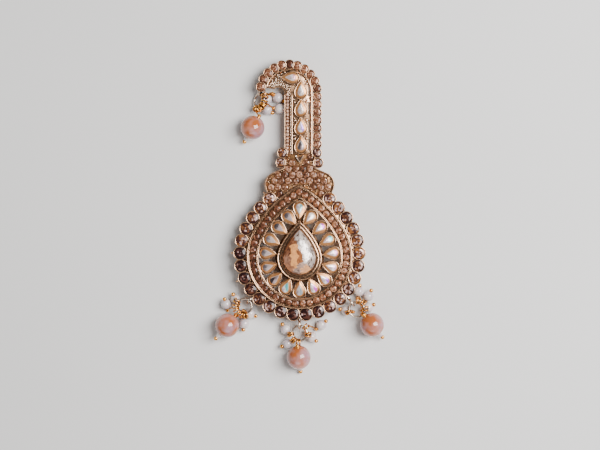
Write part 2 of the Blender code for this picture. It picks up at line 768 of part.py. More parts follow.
def build():
    """Every piece of the ornament."""
    clear_scene()
    drop_frame()
    neck_plate()
    hook_stem()
    back_pin()
    main_stone()
    for i, (at, heading) in enumerate(ring_places()):
        pear_stone("ring_stone_%02d" % (i + 1), at, heading, PEAR_CUP_TOP, RING_FLOOR)
    for i, (at, heading) in enumerate(stem_pear_places()):
        pear_stone("stem_stone_%d" % (i + 1), at, heading, STEM_PEAR_TOP, STEM_FLOOR)
    for side in CLUSTERS:
        cluster(side)


build()
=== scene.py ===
"""Turban ornament, lying face up: foil-backed stones in champagne metal, with pearl and glass clusters."""
import math
import random

import bpy
from mathutils import Matrix, Vector


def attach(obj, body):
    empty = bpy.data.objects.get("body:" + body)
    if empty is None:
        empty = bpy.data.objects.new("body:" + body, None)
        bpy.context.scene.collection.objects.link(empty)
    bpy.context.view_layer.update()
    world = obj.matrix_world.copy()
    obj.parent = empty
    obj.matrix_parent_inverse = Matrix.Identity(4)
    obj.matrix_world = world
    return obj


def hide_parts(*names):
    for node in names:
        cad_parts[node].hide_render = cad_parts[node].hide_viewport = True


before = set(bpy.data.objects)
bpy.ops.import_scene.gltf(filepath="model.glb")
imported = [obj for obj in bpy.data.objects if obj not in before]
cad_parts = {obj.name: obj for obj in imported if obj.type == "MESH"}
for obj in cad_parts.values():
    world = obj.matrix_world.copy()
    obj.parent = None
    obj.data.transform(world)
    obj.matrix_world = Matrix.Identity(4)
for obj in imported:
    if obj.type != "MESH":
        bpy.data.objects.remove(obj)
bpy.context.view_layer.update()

MM = 0.001

# Heights above the surface that it lies on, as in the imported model
BACK = 3.8 * MM               # back of the castings
SHEET = 1.2 * MM              # thickness of the cast sheet
SHEET_TOP = 5.0 * MM
CHANNEL_FLOOR = 6.6 * MM
RIM_TOP = 8.0 * MM            # top of the channel's rims
COLLAR_TOP = 9.2 * MM
CUP_TOP = 6.85 * MM           # rims of the border's cups
PAVED_FLOOR = 5.6 * MM        # floor of the neck and the stem
GAP = 0.3 * MM                # between the castings
SINK = 0.2 * MM               # how far a bed runs into the sheet

# Main stone, pears and the outlines round them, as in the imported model
BELLY = 0.65                  # how full a drop's sides are
STONE_RADIUS = 6.5 * MM
STONE_TIP = 11.4 * MM         # from the middle of its round end to its tip
STONE_CENTRE = -1.2 * MM
DRIFT = 0.4 * MM              # each outline sits this much higher than the one inside it
PEAR_RADIUS = 2.0 * MM
PEAR_TIP = 4.0 * MM
RING_STONES = 16
RING_RADIUS = 13.45 * MM      # of the line that the ring of pears stands on
RING_TIP = 19.2 * MM
INNER_REACH = 2.65 * MM       # from that line to the inner rim
INNER_TIP = 3.6 * MM
CHANNEL = 3.95 * MM           # from rim to rim
CHANNEL_TIP = 4.7 * MM

# Scalloped border
CUP_RADIUS = 2.6 * MM
BORDER_CUPS = 26
BORDER_PITCH = 4.9 * MM
BORDER_REACH = 2.9 * MM       # from the outer rim to the middles of the cups
BORDER_TIP = 2.3 * MM
BORDER_SHEET = 2.0 * MM       # how far the sheet reaches out under the cups
TIP_SHEET = 0.4 * MM          # and under the neck

# Neck
LOBE_RADIUS = 5.0 * MM
LOBE_SPREAD = 8.5 * MM        # from the middle line to a lobe's middle
LOBE_RISE = 0.4 * MM          # of the lobes above the medallion's tip
NECK_WIDTH = 6.1 * MM         # half of the waist's width
WAIST_RISE = 6.5 * MM         # of the waist above the lobes' middles
NECK_RISE = 4.9 * MM          # of the neck's top above the waist
SIDE_CUP = 1.85 * MM          # radius of the four cups beside the waist

# Stem and hook
STEM_LEFT = 5.8 * MM          # from the middle line to the stem's edges
STEM_RIGHT = 5.2 * MM
HOOK_RADIUS = 9.4 * MM
HOOK_MOUTH = 2.4 * MM         # radius of the hollow under the hook
HOOK_RISE = 23.7 * MM         # of the hook's middle above the stem's foot
HOOK_END = math.radians(166)
STEM_CUP = 1.9 * MM
STEM_CUP_PITCH = 3.05 * MM
STEM_CUP_REACH = 1.58 * MM    # from the stem's edge to the middles of its cups
STEM_CUP_START = 1.54 * MM    # from the upper side cup to the middle of the first one
STEM_PEAR_PITCH = 7.0 * MM
PEAR_WALL = 0.455 * MM        # under the round end of the lowest pear
STEM_WIRE = 0.9 * MM
BEND_GAP = 1.5 * MM           # from the last upright pear's tip to the pear in the bend

# Bead clusters
RING_MAJOR = 2.9 * MM         # jump ring, to the middle of its wire
RING_WIRE = 0.42 * MM
RING_HEIGHT = 4.75 * MM
LUG_MAJOR = 1.4 * MM
LUG_WIRE = 0.5 * MM
HOOK_LUG = 0.81 * MM          # from the hook's edge to its lug
LOOP_MAJOR = 1.15 * MM
LOOP_WIRE = 0.32 * MM
LOOP_SHIFT = 0.5 * MM         # how far a loop hangs out past the jump ring's wire
PIN_WIRE = 0.3 * MM
HEAD_RADIUS = 0.8 * MM
PEARL_RADIUS = 2.0 * MM
BEAD_RADIUS = 4.65 * MM
LIFT = 0.1 * MM               # of a pearl above the surface

# Each cluster: the lug's direction from the middle, the direction back from jump ring to lug, the jump
# ring's lean, and how far the lug stands out beyond the shortest, in lug radii
CLUSTERS = {
    "left": (222, 48, 0, 0.0),
    "centre": (270, 90, 0, 0.8),
    "right": (318, 126, 0, 1.0),
    "hook": (None, 74, 50, 0.0),
}
# Pearls, in pearl diameters east and north of the jump ring; then degrees: loop on the ring, pin, rise
PEARLS = {
    "left": ((-0.84, 0.64, 97, 115, 25), (-1.78, 0.16, 135, 104, 30),
             (0.54, -0.74, 232, -23, 10), (-0.02, -1.70, 198, 262, 0)),
    "centre": ((-1.33, 0.34, 95, 122, 10), (-1.15, -1.05, 137, 205, 10),
               (2.12, 0.78, 315, 41, 20), (1.16, -0.36, 262, -42, 10)),
    "right": ((0.25, 1.72, 314, 83, 20), (1.17, 1.27, 280, 64, 15),
              (1.14, 0.15, 238, 28, 10), (-0.98, -0.13, 72, 168, 0)),
    "hook": ((0.74, 0.14, 238, 55, -10), (1.80, 0.28, 305, -35, -28),
             (0.74, -0.86, 214, -30, 0), (1.98, -0.78, 264, -5, 0)),
}
# Big beads, in bead diameters, and then as the pearls
BEADS = {
    "left": (-0.71, -0.80, 166, 229, 0),
    "centre": (-0.03, -1.00, 173, 277, -30),
    "right": (0.64, -0.64, 196, 310, -16),
    "hook": (-0.27, -1.14, 180, 239, -20),
}

# How dark each border stone is, from the left end of the neck round to the right
BORDER_TONES = (0.45, 0.5, 0.55, 0.6, 0.35, 1.0, 0.95, 0.95, 0.85, 0.75, 0.7, 0.85, 0.95,
                0.95, 0.9, 0.45, 0.55, 0.8, 0.3, 0.65, 0.2, 0.4, 0.35, 0.7, 0.3, 0.35)
SIDE_TONES = (0.5, 0.55, 0.5, 0.6)


# Outlines

def arc(centre, radius, start, end, count):
    turns = [start + (end - start) * i / (count - 1) for i in range(count)]
    return [Vector(centre) + radius * Vector((math.cos(a), math.sin(a))) for a in turns]


def ring(radius, count, turn=0.0):
    turns = [turn + 2 * math.pi * i / count for i in range(count)]
    return [radius * Vector((math.cos(a), math.sin(a))) for a in turns]


def oblong(left, right, bottom, top):
    return [Vector(corner) for corner in ((left, bottom), (right, bottom), (right, top), (left, top))]


def drop(radius, tip, centre=0.0, steps=100):
    """A drop: a round end, and two wider arcs that meet at the tip, which comes first."""
    shoulder = math.asin(BELLY * radius / tip)
    side = radius + (tip * tip - radius * radius) / (2 * radius * (1 - BELLY))
    back = Vector((math.cos(shoulder), math.sin(shoulder))) * (side - radius)
    lean = math.atan2(tip + back.y, back.x)
    right = arc(-back, side, shoulder, lean, steps)
    left = [Vector((-p.x, p.y)) for p in reversed(right)]
    bottom = arc((0, 0), radius, math.pi - shoulder, 2 * math.pi + shoulder, 2 * steps)
    return [p + Vector((0, centre)) for p in left + bottom[1:] + right[1:-1]]


def length_of(line):
    return sum((b - a).length for a, b in zip(line, line[1:] + line[:1]))


def spaced(line, count, first=0.0, pitch=None):
    """Points along a closed outline at equal distances."""
    closed = line + line[:1]
    lengths = [(b - a).length for a, b in zip(closed, closed[1:])]
    pitch = pitch or sum(lengths) / count
    points = []
    for i in range(count):
        left = (first + i * pitch) % sum(lengths)
        side = 0
        while left > lengths[side] and side < len(lengths) - 1:
            left -= lengths[side]
            side += 1
        points.append(closed[side].lerp(closed[side + 1], left / lengths[side]))
    return points


def grown(line, distance):
    """A closed outline moved outwards, or inwards if the distance is negative."""
    moved = []
    for i, here in enumerate(line):
        before = (here - line[i - 1]).normalized()
        after = (line[(i + 1) % len(line)] - here).normalized()
        normals = [Vector((d.y, -d.x)) for d in (before, after)]
        middle = (normals[0] + normals[1]).normalized()
        moved.append(here + middle * distance / max(middle.dot(normals[0]), 0.4))
    return moved


def inside(point, line):
    """Whether a point lies within a closed outline."""
    within = False
    for a, b in zip(line, line[1:] + line[:1]):
        if (a.y > point.y) != (b.y > point.y):
            if point.x < a.x + (point.y - a.y) * (b.x - a.x) / (b.y - a.y):
                within = not within
    return within


def beyond(point, middle, wide, high):
    """Whether a point lies outside an ellipse."""
    return ((point.x - middle.x) / wide) ** 2 + ((point.y - middle.y) / high) ** 2 > 1


def widest(line):
    return max(p.x for p in line)


def topmost(line):
    return max(p.y for p in line)


def drifted(radius, top, drifts):
    """A drop of a given radius and top, a few drifts higher than the main stone."""
    return drop(radius, top - STONE_CENTRE - drifts * DRIFT, STONE_CENTRE + drifts * DRIFT)


COLLAR_LINE = drop(STONE_RADIUS + GAP, STONE_TIP + 1.2 * GAP, STONE_CENTRE)
RING_LINE = drop(RING_RADIUS, RING_TIP, STONE_CENTRE + DRIFT)
INNER_LINE = drifted(widest(RING_LINE) + INNER_REACH, topmost(RING_LINE) + INNER_TIP, 1)
OUTER_LINE = drifted(widest(INNER_LINE) + CHANNEL, topmost(INNER_LINE) + CHANNEL_TIP, 2)
BORDER_LINE = drifted(widest(OUTER_LINE) + BORDER_REACH, topmost(OUTER_LINE) + BORDER_TIP, 3)
CHANNEL_LINE = drifted(0.5 * (widest(INNER_LINE) + widest(OUTER_LINE)),
                       0.5 * (topmost(INNER_LINE) + topmost(OUTER_LINE)), 1.5)
LOBE_HEIGHT = topmost(OUTER_LINE) + LOBE_RISE
NECK_TOP = LOBE_HEIGHT + WAIST_RISE + NECK_RISE
FOOT = NECK_TOP + GAP
HOOK_CENTRE = Vector((STEM_RIGHT - HOOK_RADIUS, FOOT + HOOK_RISE))
STEM_TOP = HOOK_CENTRE.y - 0.1 * HOOK_RADIUS      # where the strip and its wires end


def along(line, count, first=0.0, pitch=None):
    """Places on an outline, with the outline's direction at each."""
    points = spaced(line, count, first, pitch)
    pitch = pitch or length_of(line) / count
    ahead = spaced(line, count, first + 0.2 * MM, pitch)
    return [(p, math.atan2((q - p).y, (q - p).x)) for p, q in zip(points, ahead)]


def ring_places():
    """Where the sixteen pears stand round the collar, and their headings: tips inwards."""
    sides = [(p, turn + math.pi / 2) for p, turn in along(RING_LINE, RING_STONES)][1:]
    return sides + [(RING_LINE[0], -math.pi / 2)]


def border_places():
    first = 0.5 * (length_of(BORDER_LINE) - (BORDER_CUPS - 1) * BORDER_PITCH)
    return along(BORDER_LINE, BORDER_CUPS, first, BORDER_PITCH)


def neck_outline():
    lobe = arc((LOBE_SPREAD, LOBE_HEIGHT), LOBE_RADIUS, math.radians(-80), math.radians(75), 24)
    right = [Vector((0, LOBE_HEIGHT - 2 * LOBE_RADIUS))] + lobe
    right += [Vector((NECK_WIDTH, LOBE_HEIGHT + WAIST_RISE)), Vector((NECK_WIDTH, NECK_TOP))]
    return right + [Vector((-p.x, p.y)) for p in reversed(right[1:])]


def neck_field(margin, lift):
    """The neck's outline moved inwards, with its upper edge moved up again towards the stem."""
    shoulder = NECK_TOP - 2 * MM
    return [p + Vector((0, lift)) if p.y > shoulder else p for p in grown(neck_outline(), -margin)]


def side_cup_places(low):
    """The lower or the upper two cups beside the waist, placed in cup radii."""
    reach, height = (0.72, NECK_TOP - 1.6 * SIDE_CUP) if low else (0.42, NECK_TOP + 0.48 * SIDE_CUP)
    return [Vector((side * (NECK_WIDTH + reach * SIDE_CUP), height)) for side in (-1, 1)]


def stem_outline():
    mouth = Vector((-STEM_LEFT - HOOK_MOUTH, HOOK_CENTRE.y - 0.2 * MM))
    return ([Vector((-STEM_LEFT, FOOT)), Vector((STEM_RIGHT, FOOT))]
            + arc(HOOK_CENTRE, HOOK_RADIUS, 0.0, HOOK_END, 40)
            + arc(mouth, HOOK_MOUTH, math.radians(135), 0.0, 14))


def stem_cup_places():
    """Up the stem's right edge, then round the hook."""
    radius = HOOK_RADIUS + STEM_CUP_REACH
    straight = HOOK_CENTRE.y - (side_cup_places(low=False)[-1].y + SIDE_CUP + STEM_CUP_START)
    places = []
    for i in range(int((straight + radius * HOOK_END) / STEM_CUP_PITCH) + 2):
        turn = max(0.0, i * STEM_CUP_PITCH - straight) / radius
        at_turn = HOOK_CENTRE + radius * Vector((math.cos(turn), math.sin(turn)))
        below = Vector((0, max(0.0, straight - i * STEM_CUP_PITCH)))
        places.append((at_turn - below, turn + math.pi / 2))
    return places


def stem_pear_places():
    """Four pears one above the other, and one that lies in the bend."""
    bottom = FOOT + PEAR_RADIUS + GAP + PEAR_WALL
    places = [(Vector((0.1 * STEM_RIGHT, bottom + i * STEM_PEAR_PITCH)), math.pi / 2) for i in range(4)]
    tip = places[-1][0] + Vector((0, PEAR_TIP)) - HOOK_CENTRE
    middle = HOOK_RADIUS - 1.2 * STEM_WIRE - GAP - PEAR_RADIUS
    turn = math.atan2(tip.y, tip.x) + 2 * math.asin(0.5 * (PEAR_RADIUS + BEND_GAP) / middle)
    bend = HOOK_CENTRE + middle * Vector((math.cos(turn), math.sin(turn)))
    return places + [(bend, math.radians(178))]


# Modelling helpers

def choose(*things):
    """Select these objects alone; the last is active."""
    bpy.ops.object.select_all(action="DESELECT")
    for thing in things:
        thing.select_set(True)
    bpy.context.view_layer.objects.active = things[-1]


def edit(thing, test):
    """Go into edit mode with the faces that pass a test selected."""
    choose(thing)
    bpy.ops.object.mode_set(mode="EDIT")
    bpy.ops.mesh.select_mode(type="FACE")
    bpy.ops.mesh.select_all(action="DESELECT")
    bpy.ops.object.mode_set(mode="OBJECT")
    for face in thing.data.polygons:
        face.select = test(face)
    bpy.ops.object.mode_set(mode="EDIT")


def leave():
    bpy.ops.object.mode_set(mode="OBJECT")


def smooth(thing, angle=50):
    """Shade a piece smooth, except at its sharper edges."""
    choose(thing)
    bpy.ops.object.shade_smooth_by_angle(angle=math.radians(angle))


def raised(name, line, base, steps):
    """A solid raised from a flat outline. Each step is an inset and a rise in millimetres; with no inset
    it is extruded."""
    bpy.ops.object.select_all(action="DESELECT")
    bpy.ops.mesh.primitive_circle_add(vertices=len(line), fill_type="NGON")
    thing = bpy.context.object
    thing.name = name
    for vertex, point in zip(thing.data.vertices, line):
        vertex.co = (point.x, point.y, base)
    bpy.ops.object.mode_set(mode="EDIT")
    bpy.ops.mesh.select_mode(type="FACE")
    bpy.ops.mesh.select_all(action="SELECT")
    for inset, rise in steps:
        if inset:
            bpy.ops.mesh.inset(thickness=inset * MM, depth=rise * MM)
        else:
            bpy.ops.mesh.extrude_region_move(TRANSFORM_OT_translate={"value": (0, 0, rise * MM)})
    bpy.ops.mesh.select_all(action="SELECT")
    bpy.ops.mesh.normals_make_consistent(inside=False)
    leave()
    return thing


def stepped(name, levels):
    """A solid through outlines of equally many points, each given with its height in millimetres."""
    thing = raised(name, levels[0][0], levels[0][1] * MM, ())
    for (before, low), (after, high) in zip(levels, levels[1:]):
        bpy.ops.object.mode_set(mode="EDIT")
        bpy.ops.mesh.extrude_region_move(TRANSFORM_OT_translate={"value": (0, 0, 0)})
        leave()
        places = {tuple(round(c, 6) for c in p): q for p, q in zip(before, after)}
        for vertex in thing.data.vertices:
            if vertex.select:
                spot = places[tuple(round(c, 6) for c in vertex.co.xy)]
                vertex.co = (spot.x, spot.y, high * MM)
    edit(thing, lambda face: True)
    bpy.ops.mesh.normals_make_consistent(inside=False)
    leave()
    return thing


def poked(thing, test, offset):
    """Split the faces that pass a test into triangles about their middles."""
    edit(thing, test)
    bpy.ops.mesh.poke(offset=offset * MM)
    leave()


def use(thing, kind, **settings):
    """Add a modifier and apply it."""
    choose(thing)
    modifier = thing.modifiers.new(kind.title(), kind)
    for name, value in settings.items():
        setattr(modifier, name, value)
    bpy.ops.object.modifier_apply(modifier=modifier.name)


def cut(thing, line, low=0.0, high=20.0):
    """Take a straight-sided hole out of a piece, between two heights in millimetres."""
    cutter = raised("cutter", line, low * MM, ((0, high - low),))
    use(thing, "BOOLEAN", object=cutter, operation="DIFFERENCE", solver="EXACT")
    bpy.data.objects.remove(cutter, do_unlink=True)


def rounded(thing, width=0.08):
    """Break the hard edges of a piece."""
    use(thing, "BEVEL", width=width * MM, segments=2, limit_method="ANGLE", angle_limit=math.radians(35),
        harden_normals=False)
    smooth(thing)


def at(point, height, heading, tilt=0.0):
    """A place whose +Y points along a heading, tilted back by an angle about its own X."""
    return (Matrix.Translation((point.x, point.y, height)) @ Matrix.Rotation(heading - math.pi / 2, 4, "Z")
            @ Matrix.Rotation(tilt, 4, "X"))


def facing(point, axis):
    """A place whose +Z points along an axis."""
    return Matrix.Translation(point) @ axis.to_track_quat("Z", "Y").to_matrix().to_4x4()


def joined(name, things):
    """Join pieces into one at the origin, in their order."""
    choose(*reversed(things))
    bpy.ops.object.transform_apply(location=True, rotation=True, scale=True)
    if len(things) > 1:
        bpy.ops.object.join()
    whole = bpy.context.object
    whole.name = name
    whole.data.name = name
    return whole


def repeated(name, master, places):
    """Copy a master to each place, each copy with its own mesh, and join the copies."""
    copies = []
    for place in places:
        choose(master)
        bpy.ops.object.duplicate()
        copy = bpy.context.object
        copy.matrix_world = place
        copies.append(copy)
    bpy.data.objects.remove(master, do_unlink=True)
    return joined(name, copies)


def wire(name, points, radius, height=0.0, closed=False):
    """A bent wire through points, or a thin wall with a rounded top when it has a height."""
    bpy.ops.object.select_all(action="DESELECT")
    bpy.ops.curve.primitive_nurbs_path_add()
    thing = bpy.context.object
    thing.name = name
    thing.data.splines.clear()
    spline = thing.data.splines.new("POLY")
    spline.points.add(len(points) - 1)
    for point, place in zip(spline.points, points):
        point.co = (*place, 1.0)
    spline.use_cyclic_u = closed
    thing.data.dimensions = "3D"
    thing.data.twist_mode = "Z_UP"
    thing.data.bevel_depth = radius
    thing.data.bevel_resolution = 3
    thing.data.extrude = height
    thing.data.use_fill_caps = not closed
    choose(thing)
    bpy.ops.object.convert(target="MESH")
    bpy.ops.object.mode_set(mode="EDIT")
    bpy.ops.mesh.select_all(action="SELECT")
    bpy.ops.mesh.remove_doubles(threshold=0.002 * MM)
    bpy.ops.mesh.normals_make_consistent(inside=False)
    leave()
    smooth(bpy.context.object, 60)
    return bpy.context.object


def carry(thing, label, values):
    """Give each face a value that its material reads."""
    thing.data.attributes.new(label, "FLOAT", "FACE").data.foreach_set("value", values)


# Materials

def effect(name, inputs, outputs):
    """A new shader group with named sockets."""
    tree = bpy.data.node_groups.new(name, "ShaderNodeTree")
    for label, kind, value in inputs:
        socket = tree.interface.new_socket(label, in_out="INPUT", socket_type="NodeSocket" + kind)
        socket.default_value = value
    for label, kind in outputs:
        tree.interface.new_socket(label, in_out="OUTPUT", socket_type="NodeSocket" + kind)
    return tree, tree.nodes.new("NodeGroupInput"), tree.nodes.new("NodeGroupOutput")


def blend(tree, share, first, second):
    """Mix two colours; each may be a socket or a value."""
    node = tree.nodes.new("ShaderNodeMix")
    node.data_type = "RGBA"
    for socket, value in ((0, share), (6, first), (7, second)):
        if isinstance(value, bpy.types.NodeSocket):
            tree.links.new(value, node.inputs[socket])
        else:
            node.inputs[socket].default_value = value
    return node.outputs[2]


def span(tree, value, low, high, to_low=0.0, to_high=1.0):
    """Map a value from one range to another."""
    node = tree.nodes.new("ShaderNodeMapRange")
    for socket, number in zip(node.inputs[1:5], (low, high, to_low, to_high)):
        socket.default_value = number
    tree.links.new(value, node.inputs[0])
    return node.outputs[0]


def read(tree, label):
    """A value that the piece's faces carry."""
    reader = tree.nodes.new("ShaderNodeAttribute")
    reader.attribute_name = label
    return reader.outputs["Fac"]


def noise(tree, scale, detail=2.0):
    """A noise pattern on the piece's own coordinates."""
    place = tree.nodes.new("ShaderNodeTexCoord")
    node = tree.nodes.new("ShaderNodeTexNoise")
    node.inputs["Detail"].default_value = detail
    tree.links.new(place.outputs["Object"], node.inputs["Vector"])
    if isinstance(scale, bpy.types.NodeSocket):
        tree.links.new(scale, node.inputs["Scale"])
    else:
        node.inputs["Scale"].default_value = scale
    return node.outputs["Fac"]


def cast_grain():
    """The mottled polish of plated castings, with painted shade in the recesses, where ambient occlusion
    finds them.
    """
    tree, start, end = effect("cast_grain", (
        ("Colour", "Color", (0.8, 0.7, 0.6, 1)), ("Dull", "Color", (0.5, 0.4, 0.3, 1)),
        ("Tarnish", "Color", (0.05, 0.03, 0.02, 1)), ("Grain", "Float", 900.0), ("Polish", "Float", 0.2)),
        (("Colour", "Color"), ("Roughness", "Float"), ("Height", "Float")))
    share = span(tree, noise(tree, start.outputs["Grain"], 3.0), 0.42, 0.68)
    plating = blend(tree, share, start.outputs["Colour"], start.outputs["Dull"])
    # Painted shade: ambient occlusion darkens the recesses towards the recess shade colour.
    hollow = tree.nodes.new("ShaderNodeAmbientOcclusion")
    hollow.samples = 6
    hollow.inputs["Distance"].default_value = 0.9 * MM
    open_share = span(tree, hollow.outputs["AO"], 0.30, 0.80)
    tree.links.new(blend(tree, open_share, start.outputs["Tarnish"], plating), end.inputs["Colour"])
    rough = tree.nodes.new("ShaderNodeMath")
    rough.operation = "MULTIPLY_ADD"
    tree.links.new(share, rough.inputs[0])
    rough.inputs[1].default_value = 0.15
    tree.links.new(start.outputs["Polish"], rough.inputs[2])
    tree.links.new(rough.outputs[0], end.inputs["Roughness"])
    tree.links.new(noise(tree, 2600.0), end.inputs["Height"])
    return tree


def facet_play():
    """The light and dark cells of a foil-backed cut stone, a shade for each facet: painted reflections, with
    a painted glint on the lightest facets; darker stones lean to the deep colour.
    """
    tree, start, end = effect("facet_play", (
        ("Deep", "Color", (0.02, 0.01, 0.01, 1)), ("Body", "Color", (0.4, 0.25, 0.2, 1)),
        ("Glint", "Color", (0.9, 0.8, 0.7, 1)), ("Pale", "Color", (0.7, 0.5, 0.4, 1))),
        (("Colour", "Color"), ("Roughness", "Float")))
    facet, stone = read(tree, "facet"), read(tree, "stone")
    shadow = blend(tree, stone, start.outputs["Body"], start.outputs["Deep"])
    body = blend(tree, stone, start.outputs["Pale"], start.outputs["Body"])
    low = blend(tree, span(tree, facet, 0.40, 0.46), shadow, body)
    high = blend(tree, span(tree, facet, 0.72, 0.78), low, start.outputs["Glint"])
    tree.links.new(high, end.inputs["Colour"])
    tree.links.new(span(tree, facet, 0.0, 1.0, 0.2, 0.08), end.inputs["Roughness"])
    return tree


CAST_GRAIN = cast_grain()
FACET_PLAY = facet_play()


def new_finish(name, **values):
    """A material with the same values all over; its patterns are linked afterwards."""
    material = bpy.data.materials.new(name)
    material.use_nodes = True
    shader = material.node_tree.nodes["Principled BSDF"]
    for label, value in values.items():
        shader.inputs[label.replace("_", " ")].default_value = value
    return material, material.node_tree, shader


def placed(tree, group, **values):
    """A shader group in a material, with its own values."""
    node = tree.nodes.new("ShaderNodeGroup")
    node.node_tree = group
    for label, value in values.items():
        node.inputs[label].default_value = value
    return node


def plated(name, colour, dull, recess_shade, polish, grain=900.0, metallic=1.0):
    """Plated metal with the castings' mottled polish, and painted shade in its recesses."""
    material, tree, shader = new_finish(name, Metallic=metallic)
    look = placed(tree, CAST_GRAIN, Colour=(*colour, 1), Dull=(*dull, 1), Tarnish=(*recess_shade, 1), Grain=grain,
                  Polish=polish)
    tree.links.new(look.outputs["Colour"], shader.inputs["Base Color"])
    tree.links.new(look.outputs["Roughness"], shader.inputs["Roughness"])
    bump = tree.nodes.new("ShaderNodeBump")
    bump.inputs["Strength"].default_value = 0.12
    bump.inputs["Distance"].default_value = 0.008 * MM
    tree.links.new(look.outputs["Height"], bump.inputs["Height"])
    tree.links.new(bump.outputs["Normal"], shader.inputs["Normal"])
    return material


def crystal(name, deep, body, glint, pale):
    """A foil-backed cut stone."""
    material, tree, shader = new_finish(name, Metallic=0.15, Specular_IOR_Level=0.25, Coat_Weight=0.25,
                                        Coat_Roughness=0.05)
    look = placed(tree, FACET_PLAY, Deep=(*deep, 1), Body=(*body, 1), Glint=(*glint, 1), Pale=(*pale, 1))
    tree.links.new(look.outputs["Colour"], shader.inputs["Base Color"])
    tree.links.new(look.outputs["Roughness"], shader.inputs["Roughness"])
    return material


# The coloured sides of the pears: amber, cream, magenta, violet, teal and pink
HUES = ((0.0, (0.66, 0.36, 0.16)), (0.2, (0.96, 0.84, 0.72)), (0.4, (0.70, 0.11, 0.54)),
        (0.6, (0.36, 0.14, 0.70)), (0.8, (0.06, 0.42, 0.42)), (1.0, (0.80, 0.32, 0.38)))


def kundan_finish():
    """Iridescent pear stones, with a pale edge: bright with a coloured side where painted light falls, grey
    where painted shade falls, and each facet lighter or darker by its painted light.
    """
    material, tree, shader = new_finish("iridescent_crystal", Metallic=0.2, Roughness=0.15, Coat_Weight=0.3,
                                        Coat_Roughness=0.03)
    hue = tree.nodes.new("ShaderNodeValToRGB")
    hue.color_ramp.elements.remove(hue.color_ramp.elements[1])
    hue.color_ramp.elements[0].color = (*HUES[0][1], 1)
    for place, colour in HUES[1:]:
        hue.color_ramp.elements.new(place).color = (*colour, 1)
    tree.links.new(read(tree, "hue"), hue.inputs["Fac"])
    facet, stone = read(tree, "facet"), read(tree, "stone")
    # Painted shade: the shaded stones are drawn grey, and their facets turned from the light darker.
    shaded_grey = blend(tree, span(tree, facet, 0.48, 0.94), (0.03, 0.022, 0.025, 1), (0.42, 0.31, 0.32, 1))
    white = blend(tree, span(tree, facet, 0.0, 0.3), (0.50, 0.36, 0.38, 1), (0.98, 0.93, 0.92, 1))
    bright = blend(tree, span(tree, facet, 0.50, 0.70), white, hue.outputs["Color"])
    toned = blend(tree, stone, bright, shaded_grey)
    edged = blend(tree, span(tree, facet, 1.1, 1.4), toned, (0.86, 0.62, 0.50, 1))
    tree.links.new(edged, shader.inputs["Base Color"])
    return material


def peach_crystal_finish():
    """The main stone: its facets go from brown to peach, or from taupe to silvery white where a painted
    reflection of the light lies on it; each facet's lightness is painted.
    """
    material, tree, shader = new_finish("peach_crystal", Metallic=0.15, Roughness=0.12, Coat_Weight=0.3,
                                        Coat_Roughness=0.02)
    facet = read(tree, "facet")
    dark_peach = blend(tree, span(tree, facet, 0.0, 0.5), (0.05, 0.014, 0.007, 1), (0.42, 0.15, 0.055, 1))
    peach = blend(tree, span(tree, facet, 0.5, 1.0), dark_peach, (0.88, 0.38, 0.12, 1))
    silver = blend(tree, facet, (0.10, 0.06, 0.045, 1), (0.98, 0.86, 0.78, 1))
    tree.links.new(blend(tree, read(tree, "stone"), peach, silver), shader.inputs["Base Color"])
    return material


def nacre_finish():
    """Imitation pearl: white with cool lilac clouds under a clear coat."""
    material, tree, shader = new_finish("nacre", Roughness=0.22, Coat_Weight=0.8, Coat_Roughness=0.08,
                                        Subsurface_Weight=0.1, Subsurface_Scale=0.001)
    cloud = span(tree, noise(tree, 380.0), 0.35, 0.65)
    lilac = blend(tree, cloud, (0.74, 0.65, 0.61, 1), (0.54, 0.46, 0.49, 1))
    tree.links.new(lilac, shader.inputs["Base Color"])
    return material


def peach_glass_finish():
    """Milky peach glass with caramel clouds inside and a lilac skin."""
    material, tree, shader = new_finish("peach_glass", Roughness=0.1, Specular_IOR_Level=0.2,
                                        Coat_Weight=0.9, Coat_Roughness=0.02, Subsurface_Weight=0.15,
                                        Subsurface_Scale=0.002)
    cloud = span(tree, noise(tree, 190.0), 0.44, 0.62)
    skin = span(tree, noise(tree, 120.0, 1.0), 0.35, 0.65)
    base = blend(tree, skin, (0.53, 0.21, 0.14, 1), (0.40, 0.21, 0.235, 1))
    tree.links.new(blend(tree, cloud, base, (0.38, 0.10, 0.025, 1)), shader.inputs["Base Color"])
    return material


# Metals: polished colour, dull colour and the colour of the painted shade in their recesses
SHADE_BROWN = (0.060, 0.030, 0.018)
CHAMPAGNE = plated("champagne_metal", (0.62, 0.37, 0.22), (0.36, 0.20, 0.11), SHADE_BROWN, polish=0.22)
BRIGHT_RIM = plated("bright_rim", (0.74, 0.45, 0.275), (0.61, 0.36, 0.215), SHADE_BROWN, polish=0.16)
GRANULE = plated("bright_grain", (0.94, 0.72, 0.56), (0.84, 0.62, 0.47), (0.20, 0.12, 0.08), polish=0.2)
TAN_FOIL = plated("tan_foil", (0.56, 0.25, 0.09), (0.40, 0.16, 0.055), SHADE_BROWN, polish=0.25, grain=500.0,
                  metallic=0.6)
OLD_GOLD = plated("old_gold_bed", (0.38, 0.20, 0.09), (0.20, 0.10, 0.045), SHADE_BROWN, polish=0.45, grain=1200.0)
# Painted shade: a dark finish for the flange, standing for the shade round the collar's foot.
SHADE_BED = plated("painted_shade_bed", (0.13, 0.070, 0.038), (0.07, 0.040, 0.022), SHADE_BROWN, polish=0.55)
GOLD = plated("gold_finding", (0.92, 0.44, 0.10), (0.66, 0.26, 0.05), (0.20, 0.06, 0.01), polish=0.16)
SILVER = plated("silver_ring", (0.76, 0.63, 0.52), (0.56, 0.44, 0.35), SHADE_BROWN, polish=0.14)
